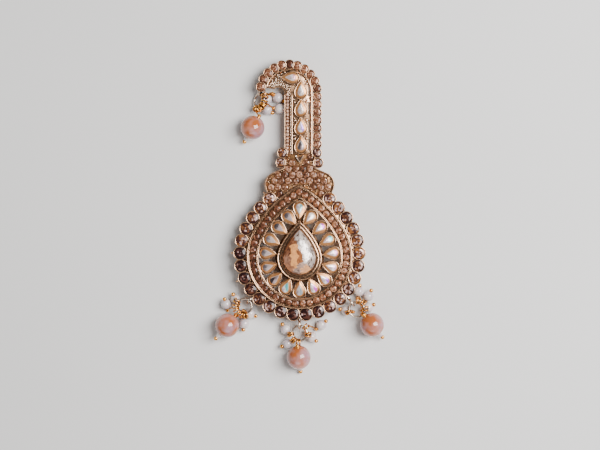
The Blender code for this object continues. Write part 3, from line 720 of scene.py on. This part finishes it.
# Round stones: deep, body, glint and pale
SMOKE = crystal("smoke_crystal", (0.014, 0.004, 0.004), (0.065, 0.022, 0.018), (0.60, 0.38, 0.34),
                (0.34, 0.13, 0.035))
ROSE = crystal("rose_crystal", (0.04, 0.014, 0.008), (0.15, 0.052, 0.028), (0.58, 0.31, 0.20),
               (0.31, 0.125, 0.055))
BLUSH = crystal("blush_crystal", (0.14, 0.06, 0.04), (0.40, 0.21, 0.14), (0.86, 0.66, 0.54),
                (0.58, 0.36, 0.26))
DUSK = crystal("dusk_crystal", (0.022, 0.007, 0.004), (0.14, 0.052, 0.028), (0.56, 0.31, 0.21),
               (0.26, 0.12, 0.055))
KUNDAN = kundan_finish()
PEACH = peach_crystal_finish()
NACRE = nacre_finish()
GLASS = peach_glass_finish()


def dressed(thing, look, slot, *nodes):
    """Give a piece its finish, and let it ride with the ornament."""
    thing.data.materials.clear()
    thing.data.materials.append(look)
    if nodes:
        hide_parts(*nodes)
    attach(thing, "root")
    return thing


# The medallion

FRAME_SIDES = 120             # points of the medallion's outlines
RIM_SIDES = 144
COLLAR_SIDES = 96
LEDGE = 0.3 * MM              # of the sheet inside the inner rim
RIM_WALL = 0.9 * MM           # half of the rims' height below their wire
RIM_DROP = 0.93 * MM          # from a rim's top to the middle of its wall, less the wire's radius
FLANGE_REACH = 2.6 * MM       # from the main stone's seat to the flange's edge
FLANGE_HOLE = 1.0 * MM        # and to its hole, which the collar hides

# The channel's rims, each a wall and a thin wire beside it: the outline that it follows, how far out it
# stands, its wire's radius and how much lower it is, in millimetres
RIMS = ((INNER_LINE, 0, 0.24, 0), (INNER_LINE, 0.45, 0.18, 0.5),
        (OUTER_LINE, 0, 0.26, 0), (OUTER_LINE, -0.45, 0.18, 0.5))

# The collar's section, from its foot over its two rims to the stone: distance out from the stone's seat
# and height, in millimetres
COLLAR_SECTION = ((1.8, 3.8), (1.8, 8.6), (1.72, 8.85), (1.58, 8.95), (1.36, 8.95), (1.24, 8.85), (1.14, 8.3),
                  (0.76, 8.3), (0.68, 8.95), (0.58, 9.12), (0.34, 9.15), (0.26, 9.0), (0.2, 8.6), (0.06, 6.8))


def medallion_sheet():
    """The sheet under the channel and the border's cups, open round the pears."""
    outer = spaced(OUTER_LINE, FRAME_SIDES)
    shoulder = border_places()[0][0].y
    edge = [wide if wide.y < shoulder else narrow
            for wide, narrow in zip(grown(outer, BORDER_SHEET), grown(outer, TIP_SHEET))]
    sheet = raised("medallion_sheet", edge, BACK, ((0, SHEET / MM),))
    cut(sheet, spaced(grown(INNER_LINE, -LEDGE), FRAME_SIDES))
    rounded(sheet)
    dressed(sheet, CHAMPAGNE, "metal", "drop_frame")


def channel_bed():
    """The raised floor that the channel's stones stand on."""
    rise = (CHANNEL_FLOOR - SHEET_TOP + SINK) / MM
    bed = raised("channel_bed", spaced(OUTER_LINE, FRAME_SIDES), SHEET_TOP - SINK, ((0, rise),))
    cut(bed, spaced(INNER_LINE, FRAME_SIDES))
    rounded(bed)
    dressed(bed, OLD_GOLD, "metal")


def channel_rims():
    rims = []
    for line, margin, radius, low in RIMS:
        height = RIM_TOP - RIM_DROP - (radius + low) * MM
        points = [(p.x, p.y, height) for p in spaced(grown(line, margin * MM), RIM_SIDES)]
        rims.append(wire("rim", points, radius * MM, height=RIM_WALL, closed=True))
    dressed(joined("channel_rims", rims), BRIGHT_RIM, "metal")


def collar():
    """The main stone's collar: two rims with a groove between them."""
    levels = [(spaced(grown(COLLAR_LINE, margin * MM), COLLAR_SIDES), height)
              for margin, height in COLLAR_SECTION]
    wall = stepped("collar", levels)
    smooth(wall)
    dressed(wall, BRIGHT_RIM, "metal")


def collar_flange():
    """The flange round the collar's foot, in a dark finish that is painted shade, as the shade falls round
    the collar's foot.
    """
    flange = raised("collar_flange", spaced(grown(COLLAR_LINE, FLANGE_REACH), COLLAR_SIDES), BACK,
                    ((0, SHEET / MM),))
    cut(flange, spaced(grown(COLLAR_LINE, FLANGE_HOLE), COLLAR_SIDES))
    rounded(flange)
    dressed(flange, SHADE_BED, "metal")


STONE_SIDES = 18
# The main stone's rings of facets, from its back to its table: share of its size, and depth below the
# collar's top in millimetres
STONE_RINGS = ((0.97, 1.9), (1.0, 0.75), (0.955, 0.35), (0.86, -0.2), (0.70, -0.75), (0.53, -1.1),
               (0.36, -1.3), (0.18, -1.4))

# The main stone's groups of facets: east and north in millimetres, how silvery (a painted reflection of the
# light), how light (painted light)
STONE_GROUPS = (
    (-2.2, 2.8, 0.0, 0.92), (-1.9, 0.0, 0.0, 1.0), (-2.0, -3.0, 0.0, 0.96), (0.4, 0.8, 0.0, 0.36),
    (0.3, -2.2, 0.0, 0.4), (1.4, 3.2, 1.0, 0.95), (2.6, 0.2, 1.0, 1.0), (2.3, -2.2, 1.0, 0.98),
    (-0.4, 6.8, 0.9, 0.55), (4.9, -0.5, 0.9, 0.6), (3.3, 4.6, 0.85, 0.65), (2.0, -5.2, 0.1, 0.9),
    (-1.4, -6.6, 0.5, 0.3), (-5.0, 1.6, 0.05, 0.2), (-4.6, -2.0, 0.15, 0.42), (-3.2, -5.0, 0.1, 0.5),
    (-3.2, 5.0, 0.05, 0.3), (3.8, 1.8, 1.0, 0.4), (4.3, -2.8, 0.9, 0.45), (0.9, 5.6, 1.0, 0.55),
    (1.0, -3.9, 0.5, 0.5), (1.6, 1.6, 1.0, 0.8),
)


def main_stone():
    """The big pear: rings of crown facets round a table, peach on the left and silvery on the right, where a
    painted reflection of the light lies.
    """
    levels = []
    for size, depth in STONE_RINGS:
        line = drop(STONE_RADIUS * size, STONE_TIP * size, STONE_CENTRE + 0.8 * (1 - size) * MM)
        levels.append((spaced(line, STONE_SIDES), COLLAR_TOP / MM - depth))
    stone = stepped("centre_stone_facets", levels)
    poked(stone, lambda face: face.normal.z > 0.3, 0.03)
    # Painted light for each facet: its group's lightness, less a chance dip on the silvery groups, with a
    # little random; the edge facets stay dark.
    dice = random.Random(5)
    silvery, light = [], []
    for face in stone.data.polygons:
        spot = face.center.xy / MM
        group = min(STONE_GROUPS, key=lambda row: (spot - Vector(row[:2])).length)
        edge = not inside(face.center.xy, levels[2][0])
        dip = dice.choice((0.0, 0.0, 0.0, 0.45)) * group[2]
        silvery.append(0.0 if edge else group[2])
        light.append(0.15 if edge else min(1.0, max(0.0, group[3] - dip + dice.uniform(-0.2, 0.1))))
    carry(stone, "stone", silvery)
    carry(stone, "facet", light)
    dressed(stone, PEACH, "peach_stone", "centre_stone")


# The pear stones of the ring, anticlockwise from the tip's left, and of the stem, from its foot: how much
# painted shade each has, which draws it grey as if turned from the light, and where its coloured side lies
# from amber (0) through cream, magenta, violet and teal to pink (1)
RING_TONES = ((0.9, 0.2), (0.95, 0.2), (0.75, 0.2), (0.85, 0.2), (0.85, 0.2), (1.0, 0.0), (0.1, 0.8),
              (0.45, 0.85), (0.0, 0.42), (0.0, 0.56), (0.0, 0.3), (0.0, 0.35), (0.0, 0.8), (0.0, 0.45),
              (0.05, 0.15), (0.35, 0.8))
STEM_TONES = ((0.95, 0.1), (0.15, 0.6), (0.45, 0.1), (0.45, 0.15), (0.3, 1.0))

# Sections of a pear's foil and of its stone, from below: distance out from the pear's outline and height,
# in millimetres
FOIL_SECTION = ((0.26, 0.0), (0.26, 0.15), (0.0, 0.22), (-0.5, 0.5), (-0.85, 0.56))
PEAR_SECTION = ((-0.72, 0.4), (-0.72, 0.62), (-0.86, 0.72), (-1.1, 0.82), (-1.5, 0.88))
PEAR_SIDES = 16
PEAR_CUP_SIDES = 40
PEAR_CUP_WALL = 0.65          # from a pear's outline to the outside of its cup, in millimetres
PEAR_EDGE = 1.5               # the facet value of a stone's pale edge


def pear_line(margin, sides):
    return spaced(drop(PEAR_RADIUS + margin * MM, PEAR_TIP + 1.3 * margin * MM), sides)


def pear_settings(name, places, rim, nodes, lean, tones):
    """Pear stones, each in a pale cup with a ring of tan foil."""
    cup = raised("cup", pear_line(PEAR_CUP_WALL, PEAR_CUP_SIDES), BACK,
                 ((0, rim - 3.85), (0.05, 0.1), (0.1, 0.05), (0.14, 0), (0.1, -0.08), (0, -0.5)))
    smooth(cup)
    cups = repeated(name + "_cups", cup, [at(p, 0, heading) for p, heading in places])
    dressed(cups, BRIGHT_RIM, "metal")

    foil = stepped("foil", [(pear_line(margin, PEAR_CUP_SIDES), height) for margin, height in FOIL_SECTION])
    smooth(foil, 40)
    tilted = [at(p, (rim - 0.4) * MM, heading, math.radians(lean)) for p, heading in places]
    dressed(repeated(name + "_foils", foil, tilted), TAN_FOIL, "metal")

    stone = stepped("stone", [(pear_line(margin, PEAR_SIDES), height) for margin, height in PEAR_SECTION])
    poked(stone, lambda face: len(face.vertices) == PEAR_SIDES and face.normal.z > 0, 0.03)
    edges = [face.normal.z < 0.8 for face in stone.data.polygons]
    stones = repeated(name + "_stones", stone, tilted)
    dice = random.Random(8)
    shadings, hues, facets = [], [], []
    for i, face in enumerate(stones.data.polygons):
        shading, hue = tones[i // len(edges)]
        # Painted light: each facet is lighter on the side of its stone towards the light on the right and
        # darker on the far side, with a little random.
        off = (face.center.xy - places[i // len(edges)][0]).normalized()
        slant = 0.35 - 0.85 * shading
        lit = 0.5 + 0.55 * (off.x * 0.9 + off.y * slant) + dice.uniform(-0.12, 0.12)
        shadings.append(shading)
        hues.append(hue)
        facets.append(PEAR_EDGE if edges[i % len(edges)] else min(1.0, max(0.0, lit)))
    carry(stones, "stone", shadings)
    carry(stones, "hue", hues)
    carry(stones, "facet", facets)
    dressed(stones, KUNDAN, "iridescent_stone", *nodes)


def round_settings(name, places, radius, base, rim, look, tones=None, seed=1, metal=BRIGHT_RIM, wall=0.36,
                   sides=12):
    """Round stones in thin-walled cups: a crown and table, each facet painted light or dark, a painted
    reflection of the foil and of the facets below showing through.
    """
    height = (rim - base) / MM
    half = 0.5 * wall - 0.05
    cup = raised("cup", ring(radius, 24), 0, ((0, height - 0.12), (0.05, 0.08), (half, 0.04), (half, -0.04),
                                              (0.05, -0.08), (0, -0.4)))
    smooth(cup)
    cups = repeated(name + "_cups", cup, [at(p, base, heading) for p, heading in places])
    dressed(cups, metal, "metal")

    girdle = radius / MM - wall - 0.06
    stone = raised("stone", ring(girdle * MM, sides, math.pi / sides), -0.5 * MM,
                   ((0, 0.15), (0.2 * girdle, 0.13), (0.26 * girdle, 0.1), (0.26 * girdle, 0.03)))
    poked(stone, lambda face: len(face.vertices) == sides and face.normal.z > 0.3, 0.0)
    outer = [face.center.xy.length > 0.85 * girdle * MM for face in stone.data.polygons]
    stones = repeated(name + "_stones", stone, [at(p, rim, heading) for p, heading in places])
    # Painted reflections: a random light for each facet, kept darker on the outer ring and with fewer glints
    # on darker stones.
    dice = random.Random(seed)
    tones = tones or [dice.random() for _ in places]
    shades = [tones[i // len(outer)] for i in range(len(stones.data.polygons))]
    carry(stones, "stone", shades)
    carry(stones, "facet", [dice.random() * (0.6 if outer[i % len(outer)] else 1.0) * (1.05 - 0.27 * shade)
                            for i, shade in enumerate(shades)])
    dressed(stones, look, "metal")


CHANNEL_STONES = 45
CHANNEL_STONE = 1.44 * MM


def channel_stones():
    """The small stones between the two rims, darker on the left, where the light doesn't reach."""
    channel = [(p, 0.5 * i) for i, (p, turn) in enumerate(along(CHANNEL_LINE, CHANNEL_STONES))]
    shadow = [min(1.0, max(0.1, 0.4 - place.x / (20 * MM))) for place, turn in channel]
    round_settings("channel", channel, CHANNEL_STONE, CHANNEL_FLOOR - 0.2 * MM, CHANNEL_FLOOR + 0.8 * MM,
                   ROSE, shadow, seed=23, metal=TAN_FOIL, wall=0.12, sides=8)


def cone(place, foot, top, length, sides, edge):
    """A blunt cone with rounded edges; its sizes are in millimetres."""
    bpy.ops.object.select_all(action="DESELECT")
    bpy.ops.mesh.primitive_cone_add(vertices=sides, radius1=foot * MM, radius2=top * MM, depth=length * MM)
    thing = bpy.context.object
    thing.matrix_world = place
    rounded(thing, edge)
    return thing


CLAW_CUPS = (0, 5, 7)         # the border's cups that have a claw, from the left end of the neck


def border():
    """The scalloped border, and the small claws on its left side."""
    round_settings("border", border_places(), CUP_RADIUS + 0.05 * MM, BACK, CUP_TOP, SMOKE, BORDER_TONES,
                   seed=17)
    claws = []
    for i in CLAW_CUPS:
        middle, turn = border_places()[i]
        place = (at(middle, CUP_TOP - 0.6 * MM, turn) @ Matrix.Translation((CUP_RADIUS + 0.45 * MM, 0, 0))
                 @ Matrix.Rotation(math.pi / 2, 4, "Y"))
        claws.append(cone(place, 0.6, 0.15, 1.3, 12, 0.08))
    dressed(joined("border_claws", claws), BRIGHT_RIM, "metal")


def strewn(name, spots, look):
    """Small balls of metal; each spot is a point, then a height and a radius in millimetres."""
    balls = []
    for place, height, radius in spots:
        bpy.ops.object.select_all(action="DESELECT")
        bpy.ops.mesh.primitive_uv_sphere_add(segments=10, ring_count=7, radius=radius * MM,
                                             location=(place.x, place.y, height * MM))
        bpy.ops.object.shade_smooth()
        balls.append(bpy.context.object)
    dressed(joined(name, balls), look, "metal")


# The neck

WINDOW = Vector((0, NECK_TOP - 0.22 * NECK_RISE))     # middle of the small three-cornered window
WINDOW_RADIUS = 1.15 * MM
WINDOW_FRAME = ((-1.5, 0.85), (0, -1.75), (1.5, 0.85))    # its V, in millimetres from the middle
OPEN_TOP = 4.7 * MM           # half of the width over which the neck's upper rim is left out
CUP_HOLE = 2.3 * MM           # room for the cups that stand in the tray's edge
NECK_BED = 0.84 * MM          # how far the bed runs up towards the stem

PAVE_STONE = 1.47 * MM
PAVE_COLUMN = 2.75 * MM
PAVE_ROW = 2.38 * MM
PAVE_APART = 2.45 * MM        # least distance between two stones
NECK_REACH = (-14, 14)        # millimetres that the neck takes up, east and north
NECK_HEIGHT = (20, 40)


def anywhere(dice, east, north):
    """A chance point within two ranges in millimetres."""
    return Vector((dice.uniform(*east) * MM, dice.uniform(*north) * MM))


def neck_tray():
    """The cloud-shaped tray with its rim, cut round the medallion, the window and the cups."""
    tray = raised("neck_tray", neck_outline(), BACK, ((0, 2.7), (0.1, 0.1), (0.3, 0), (0.1, -0.1), (0, -0.9)))
    cut(tray, spaced(grown(OUTER_LINE, 0.7 * MM), 90))
    cut(tray, [WINDOW + p for p in ring(WINDOW_RADIUS, 3, -math.pi / 2)])
    cut(tray, oblong(-OPEN_TOP, OPEN_TOP, NECK_TOP - 1.2 * MM, NECK_TOP + MM), low=PAVED_FLOOR / MM + 0.02)
    for place in (border_places()[0][0], border_places()[-1][0], *side_cup_places(low=False)):
        cut(tray, [place + p for p in ring(CUP_HOLE, 20)])
    rounded(tray, 0.04)
    dressed(tray, BRIGHT_RIM, "metal", "neck_plate")


def neck_bed():
    """The dark floor under the neck's stones."""
    bed = raised("neck_bed", neck_field(0.55 * MM, NECK_BED), PAVED_FLOOR - 0.5 * MM, ((0, 0.55),))
    cut(bed, spaced(grown(OUTER_LINE, 0.5 * MM), 90))
    cut(bed, [WINDOW + p for p in ring(WINDOW_RADIUS, 3, -math.pi / 2)])
    rounded(bed, 0.04)
    dressed(bed, OLD_GOLD, "metal")


def window_frame():
    """The V round the window."""
    corners = [WINDOW + Vector((x * MM, y * MM)) for x, y in WINDOW_FRAME]
    points = [(p.x, p.y, PAVED_FLOOR + 0.8 * MM) for p in corners]
    dressed(wire("window_frame", points, 0.3 * MM, height=0.4 * MM), GRANULE, "metal")


def neck_paving():
    """Stones set close together over the neck: rows first, then wherever there is room, and grains
    between them."""
    within, keep_off = neck_field(1.3 * MM, 0.7 * MM), grown(OUTER_LINE, 1.35 * MM)
    cups = [place for place, turn in border_places()] + side_cup_places(low=True) + side_cup_places(low=False)
    dice = random.Random(14)
    lowest = Vector((0, LOBE_HEIGHT - 0.9 * MM))
    spots = [Vector(((column + 0.5 * (row % 2)) * PAVE_COLUMN, row * PAVE_ROW)) + lowest
             for row in range(-3, 9) for column in range(-6, 7)]
    spots += [anywhere(dice, NECK_REACH, NECK_HEIGHT) for _ in range(3000)]
    paved = []
    for spot in spots:
        clear = all((spot - other).length > PAVE_APART for other, turn in paved)
        clear = clear and all((spot - cup).length > 2.95 * MM for cup in cups)
        clear = clear and (spot - WINDOW).length > 2.3 * MM
        if clear and inside(spot, within) and not inside(spot, keep_off):
            paved.append((spot, dice.uniform(0, 1)))
    round_settings("neck_pave", paved, PAVE_STONE, PAVED_FLOOR - 0.1 * MM, PAVED_FLOOR + 0.5 * MM, DUSK,
                   seed=31, metal=TAN_FOIL, wall=0.12, sides=8)

    within, keep_off = grown(neck_outline(), -0.85 * MM), grown(OUTER_LINE, 0.8 * MM)
    between = []
    for _ in range(2500):
        spot = anywhere(dice, NECK_REACH, NECK_HEIGHT)
        clear = all((spot - other).length > 1.6 * MM for other, turn in paved)
        clear = clear and all((spot - other).length > 0.6 * MM for other, height, size in between)
        clear = clear and (spot - WINDOW).length > 2.1 * MM
        if clear and inside(spot, within) and not inside(spot, keep_off):
            between.append((spot, 5.7, dice.uniform(0.28, 0.45)))
    strewn("neck_grains", between, CHAMPAGNE)


def side_cups():
    """The four cups beside the neck's waist."""
    places = [(Vector((0.965 * p.x, p.y)), 0.0)
              for p in side_cup_places(low=True) + side_cup_places(low=False)]
    round_settings("side", places, 1.12 * SIDE_CUP, BACK, CUP_TOP - 0.1 * MM, SMOKE, SIDE_TONES, seed=19,
                   wall=0.34)


# The stem

SLIT = 0.5 * MM               # half of a slit's width
SLIT_LENGTH = 2.2 * MM        # half of its length
SLIT_RISE = 1.0 * MM          # of its middle above the pear's
SLIT_GAP = 0.65 * MM          # from the pear's cup to the slit's middle
STRIP_STONES = 18
STRIP_STONE = 0.8 * MM
STRIP_INSET = 1.15 * MM       # from the stem's left edge to the strip's middle
HOOK_WIRE = 0.54 * MM         # from the stem's right edge to its wire's middle
# The two upright wires: distance from the stem's left edge and radius, in millimetres
UPRIGHTS = ((0.14, 0.14), (2.95, 0.26))


def stem_plate():
    """The stem's and hook's plate, with a slit beside each upright pear."""
    plate = raised("stem_plate", stem_outline(), BACK, ((0, (PAVED_FLOOR - BACK) / MM),))
    for place, heading in stem_pear_places()[:4]:
        x, y = place.x + PEAR_RADIUS + PEAR_CUP_WALL * MM + SLIT_GAP, place.y + SLIT_RISE
        cut(plate, oblong(x - SLIT, x + SLIT, y - SLIT_LENGTH, y + SLIT_LENGTH))
    rounded(plate, 0.1)
    dressed(plate, CHAMPAGNE, "metal", "hook_stem")


def stem_wires():
    """The wire that follows the right edge round the hook, and the strip's two upright wires."""
    right = [Vector((STEM_RIGHT - HOOK_WIRE, FOOT + 0.2 * MM))]
    right += arc(HOOK_CENTRE, HOOK_RADIUS - HOOK_WIRE, 0.0, math.radians(164), 40)
    wires = [wire("wire", [(p.x, p.y, PAVED_FLOOR + 0.3 * MM) for p in right], 0.42 * MM, height=0.25 * MM)]
    for inset, radius in UPRIGHTS:
        x = -STEM_LEFT + inset * MM
        line = [(x, y, PAVED_FLOOR + 0.2 * MM) for y in (FOOT + 0.2 * MM, STEM_TOP)]
        wires.append(wire("wire", line, radius * MM, height=0.2 * MM))
    dressed(joined("stem_wires", wires), BRIGHT_RIM, "metal")


def strip():
    """The strip of pale small stones up the stem's left side."""
    step = (STEM_TOP - FOOT - 0.9 * MM) / (STRIP_STONES - 1)
    places = [(Vector((-STEM_LEFT + STRIP_INSET, FOOT + 1.2 * MM + i * step)), 0.3 * i)
              for i in range(STRIP_STONES)]
    round_settings("strip", places, STRIP_STONE, PAVED_FLOOR - 0.1 * MM, PAVED_FLOOR + 0.5 * MM, BLUSH,
                   [0.35] * STRIP_STONES, seed=41, wall=0.14, sides=8)


def stem_edge():
    """The cups up the stem's right edge and over the hook."""
    round_settings("stem_edge", stem_cup_places(), STEM_CUP, BACK, CUP_TOP - 0.1 * MM, ROSE, seed=29,
                   wall=0.3)


# Large grains beside each upright pear: east and north of it, and radius, in millimetres
PEAR_GRAINS = ((-2.3, 3.3, 0.55), (2.35, 3.5, 0.6))
TIP_GRAIN = (Vector((0, 12.7 * MM)), 8.2, 0.55)       # at the collar's tip
GRAIN_ROW = 0.62 * MM         # from one grain to the next beside the strip


def grains():
    """Cast grains between the stones: large ones beside the pears, small ones strewn over the stem."""
    *upright, bend = [place for place, heading in stem_pear_places()]
    sides = [pear + Vector((0, 0.9 * MM)) for pear in upright]
    spots = [TIP_GRAIN]
    for place in upright:
        spots += [(place + Vector((x * MM, y * MM)), 5.85, radius) for x, y, radius in PEAR_GRAINS]
    spots += [(Vector((-STEM_LEFT + 2.4 * MM, FOOT + (0.5 + i) * GRAIN_ROW)), 5.75, 0.3)
              for i in range(int((STEM_TOP - FOOT) / GRAIN_ROW))]
    dice = random.Random(3)
    field = grown(stem_outline(), -0.7 * MM)
    for _ in range(6000):
        spot = anywhere(dice, (-14, 6), (FOOT / MM, HOOK_CENTRE.y / MM + 10))
        radius = dice.uniform(0.26, 0.5)
        on_strip = -STEM_LEFT < spot.x < -STEM_LEFT + 3.4 * MM and spot.y < STEM_TOP
        if spot.y > HOOK_CENTRE.y:
            on_wire = (spot - HOOK_CENTRE).length > HOOK_RADIUS - 1.3 * MM
        else:
            on_wire = spot.x > 2.9 * MM
        clear = inside(spot, field) and not on_strip and not on_wire
        clear = clear and beyond(spot, bend, 4.6 * MM, 2.9 * MM)
        clear = clear and all(beyond(spot, side, 4.3 * MM, 3.9 * MM) for side in sides)
        if clear and all((spot - other).length > 0.7 * (radius + size) * MM for other, height, size in spots):
            spots.append((spot, 5.62 + 0.2 * radius, radius))
    strewn("cast_grains", spots, GRANULE)


# Bead clusters

STUB = 1.6                    # from the shortest lug into the casting, in millimetres
WRAPS = 4                     # turns of wire below a head pin's loop
BEAD_TIP = 2.0                # length of the pale cone below a big bead, in millimetres


def cluster_place(side):
    """The frame of a jump ring: +X towards its lug, +Z along its axis."""
    bearing, back, tilt, extra = CLUSTERS[side]
    back = math.radians(back)
    if bearing is None:
        root = HOOK_CENTRE + Vector((-HOOK_RADIUS - HOOK_LUG, 0.15 * HOOK_RADIUS))
        height = BACK
    else:
        reach = widest(BORDER_LINE) + 0.75 * CUP_RADIUS + extra * LUG_MAJOR
        root = reach * Vector((math.cos(math.radians(bearing)), math.sin(math.radians(bearing))))
        height = RING_HEIGHT
    centre = root - (RING_MAJOR + LUG_MAJOR) * Vector((math.cos(back), math.sin(back)))
    return (Matrix.Translation((centre.x, centre.y, height)) @ Matrix.Rotation(back, 4, "Z")
            @ Matrix.Rotation(-math.radians(tilt), 4, "X"))


def linked_place(place, turn, major):
    """The frame of a link that hangs on a jump ring's wire."""
    return (place @ Matrix.Rotation(turn, 4, "Z") @ Matrix.Translation((major, 0, 0))
            @ Matrix.Rotation(math.pi / 2, 4, "X"))


def loop(place, major, minor, turns=32, sides=10):
    bpy.ops.object.select_all(action="DESELECT")
    bpy.ops.mesh.primitive_torus_add(major_segments=turns, minor_segments=sides, major_radius=major,
                                     minor_radius=minor)
    thing = bpy.context.object
    thing.matrix_world = place
    bpy.ops.object.shade_smooth()
    return thing


def ball(centre, radius, axis, segments=32):
    bpy.ops.object.select_all(action="DESELECT")
    bpy.ops.mesh.primitive_uv_sphere_add(segments=segments, ring_count=segments // 2, radius=radius)
    thing = bpy.context.object
    thing.matrix_world = facing(centre, axis)
    bpy.ops.object.shade_smooth()
    return thing


def lug(place, extra):
    """The eye that holds a jump ring, and its stub."""
    eye = linked_place(place, 0.0, RING_MAJOR + 0.35 * LUG_MAJOR)
    ends = [eye @ Vector((LUG_MAJOR + reach, 0, 0)) for reach in (0, (STUB + extra * 1.4) * MM)]
    return [loop(eye, LUG_MAJOR, LUG_WIRE), wire("stub", ends, 0.6 * MM)]


def head_pin(place, turn, centre, axis, radius):
    """A bead's pin, with its double loop on the jump ring and the wraps below the loop."""
    parts = []
    for lean in (-9, 9):
        coil = linked_place(place, math.radians(turn + lean), RING_MAJOR + LOOP_SHIFT)
        parts.append(loop(coil, LOOP_MAJOR, LOOP_WIRE, 24, 8))
    link = linked_place(place, math.radians(turn), RING_MAJOR + LOOP_SHIFT)
    near = centre - axis * (radius + 0.5 * MM)
    parts.append(wire("pin", [link @ Vector((LOOP_MAJOR, 0, 0)), near, centre], PIN_WIRE))
    for wrap in range(WRAPS):
        spot = centre - axis * (radius + (0.05 + 0.36 * wrap) * MM)
        parts.append(loop(facing(spot, axis), (0.56 - 0.04 * wrap) * MM, 0.24 * MM, 14, 6))
    return parts


def clusters():
    """Jump rings, lugs, head pins with wrapped loops, pearls and big beads."""
    rings, lugs, pins, pearls, beads, tips = [], [], [], [], [], []
    for side, (bearing, back, tilt, extra) in CLUSTERS.items():
        place = cluster_place(side)
        rings.append(loop(place, RING_MAJOR, RING_WIRE, 48, 12))
        lugs += lug(place, extra)
        rows = [(row, PEARL_RADIUS, LIFT) for row in PEARLS[side]] + [(BEADS[side], BEAD_RADIUS, 0)]
        for (east, north, turn, heading, rise), radius, lift in rows:
            centre = place.translation + 2 * radius * Vector((east, north, 0))
            centre.z = radius + lift
            heading, rise = math.radians(heading), math.radians(rise)
            axis = Vector((math.cos(heading) * math.cos(rise), math.sin(heading) * math.cos(rise),
                           math.sin(rise)))
            pins += head_pin(place, turn, centre, axis, radius)
            if radius == BEAD_RADIUS:
                beads.append(ball(centre, radius, axis, 48))
                tip = facing(centre + axis * (radius + 0.55 * MM), axis)
                tips.append(cone(tip, 1.25, 0.5, BEAD_TIP, 24, 0.15))
                pins.append(ball(centre + axis * (radius + 2.0 * MM), HEAD_RADIUS, axis, 16))
            else:
                pearls.append(ball(centre, radius, axis))
                pins.append(ball(centre + axis * (radius + 0.45 * MM), HEAD_RADIUS, axis, 16))
    dressed(joined("jump_rings", rings), SILVER, "silver", *["jump_ring_" + side for side in CLUSTERS])
    dressed(joined("lugs", lugs), SILVER, "metal")
    dressed(joined("head_pins", pins), GOLD, "metal")
    dressed(joined("pearls", pearls), NACRE, "pearl",
            *["pearl_%s_%d" % (side, i + 1) for side in CLUSTERS for i in range(len(PEARLS[side]))])
    dressed(joined("glass_beads", beads), GLASS, "peach_glass", *["bead_drop_" + side for side in CLUSTERS])
    dressed(joined("bead_tips", tips), NACRE, "pearl")


def back_pin():
    """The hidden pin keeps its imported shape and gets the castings' finish."""
    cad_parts["back_pin"].data.materials.clear()
    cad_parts["back_pin"].data.materials.append(CHAMPAGNE)


# The stage

# Lamps: place, width and height in metres, and watts
LAMPS = {
    "window": ((0.38, 0.12, 0.60), (0.38, 0.50), 12.0),
    "fill": ((-0.70, -0.1, 0.40), (0.5, 0.7), 0.7),
    "low": ((-0.05, -0.7, 0.45), (0.7, 0.3), 1.4),
}
CAMERA = (0.19 * MM, 11.55 * MM, 0.6487)


def stage():
    """Pale floor, soft studio light from the upper right, and the camera straight above."""
    bpy.ops.object.select_all(action="DESELECT")
    bpy.ops.mesh.primitive_plane_add(size=3.0)
    floor = bpy.context.object
    floor.name = "floor"
    material, tree, shader = new_finish("pale_floor", Roughness=0.7)
    tone = blend(tree, span(tree, noise(tree, 6.0), 0.3, 0.7), (0.70, 0.69, 0.68, 1), (0.73, 0.72, 0.71, 1))
    tree.links.new(tone, shader.inputs["Base Color"])
    floor.data.materials.append(material)

    world = bpy.data.worlds.new("studio")
    bpy.context.scene.world = world
    world.use_nodes = True
    world.node_tree.nodes["Background"].inputs["Color"].default_value = (0.93, 0.89, 0.86, 1)
    world.node_tree.nodes["Background"].inputs["Strength"].default_value = 0.22
    for name, (spot, size, power) in LAMPS.items():
        bpy.ops.object.light_add(type="AREA", location=spot)
        lamp = bpy.context.object
        lamp.name = name
        lamp.data.shape = "RECTANGLE"
        lamp.data.size, lamp.data.size_y = size
        lamp.data.energy = power
        lamp.rotation_euler = (Vector((0, 0.01, 0)) - Vector(spot)).to_track_quat("-Z", "Y").to_euler()
    bpy.ops.object.camera_add(location=CAMERA, rotation=(0, 0, 0))
    camera = bpy.context.object
    camera.data.lens = 100
    camera.data.sensor_width = 36
    bpy.context.scene.camera = camera


medallion_sheet()
channel_bed()
channel_rims()
collar()
collar_flange()
main_stone()
channel_stones()
pear_settings("ring", ring_places(), 7.5, ["ring_stone_%02d" % (i + 1) for i in range(RING_STONES)], 11,
              RING_TONES)
pear_settings("stem", stem_pear_places(), 7.1, ["stem_stone_%d" % (i + 1) for i in range(5)], 3, STEM_TONES)
border()
neck_tray()
neck_bed()
window_frame()
neck_paving()
side_cups()
stem_edge()
stem_plate()
stem_wires()
strip()
grains()
clusters()
back_pin()
stage()
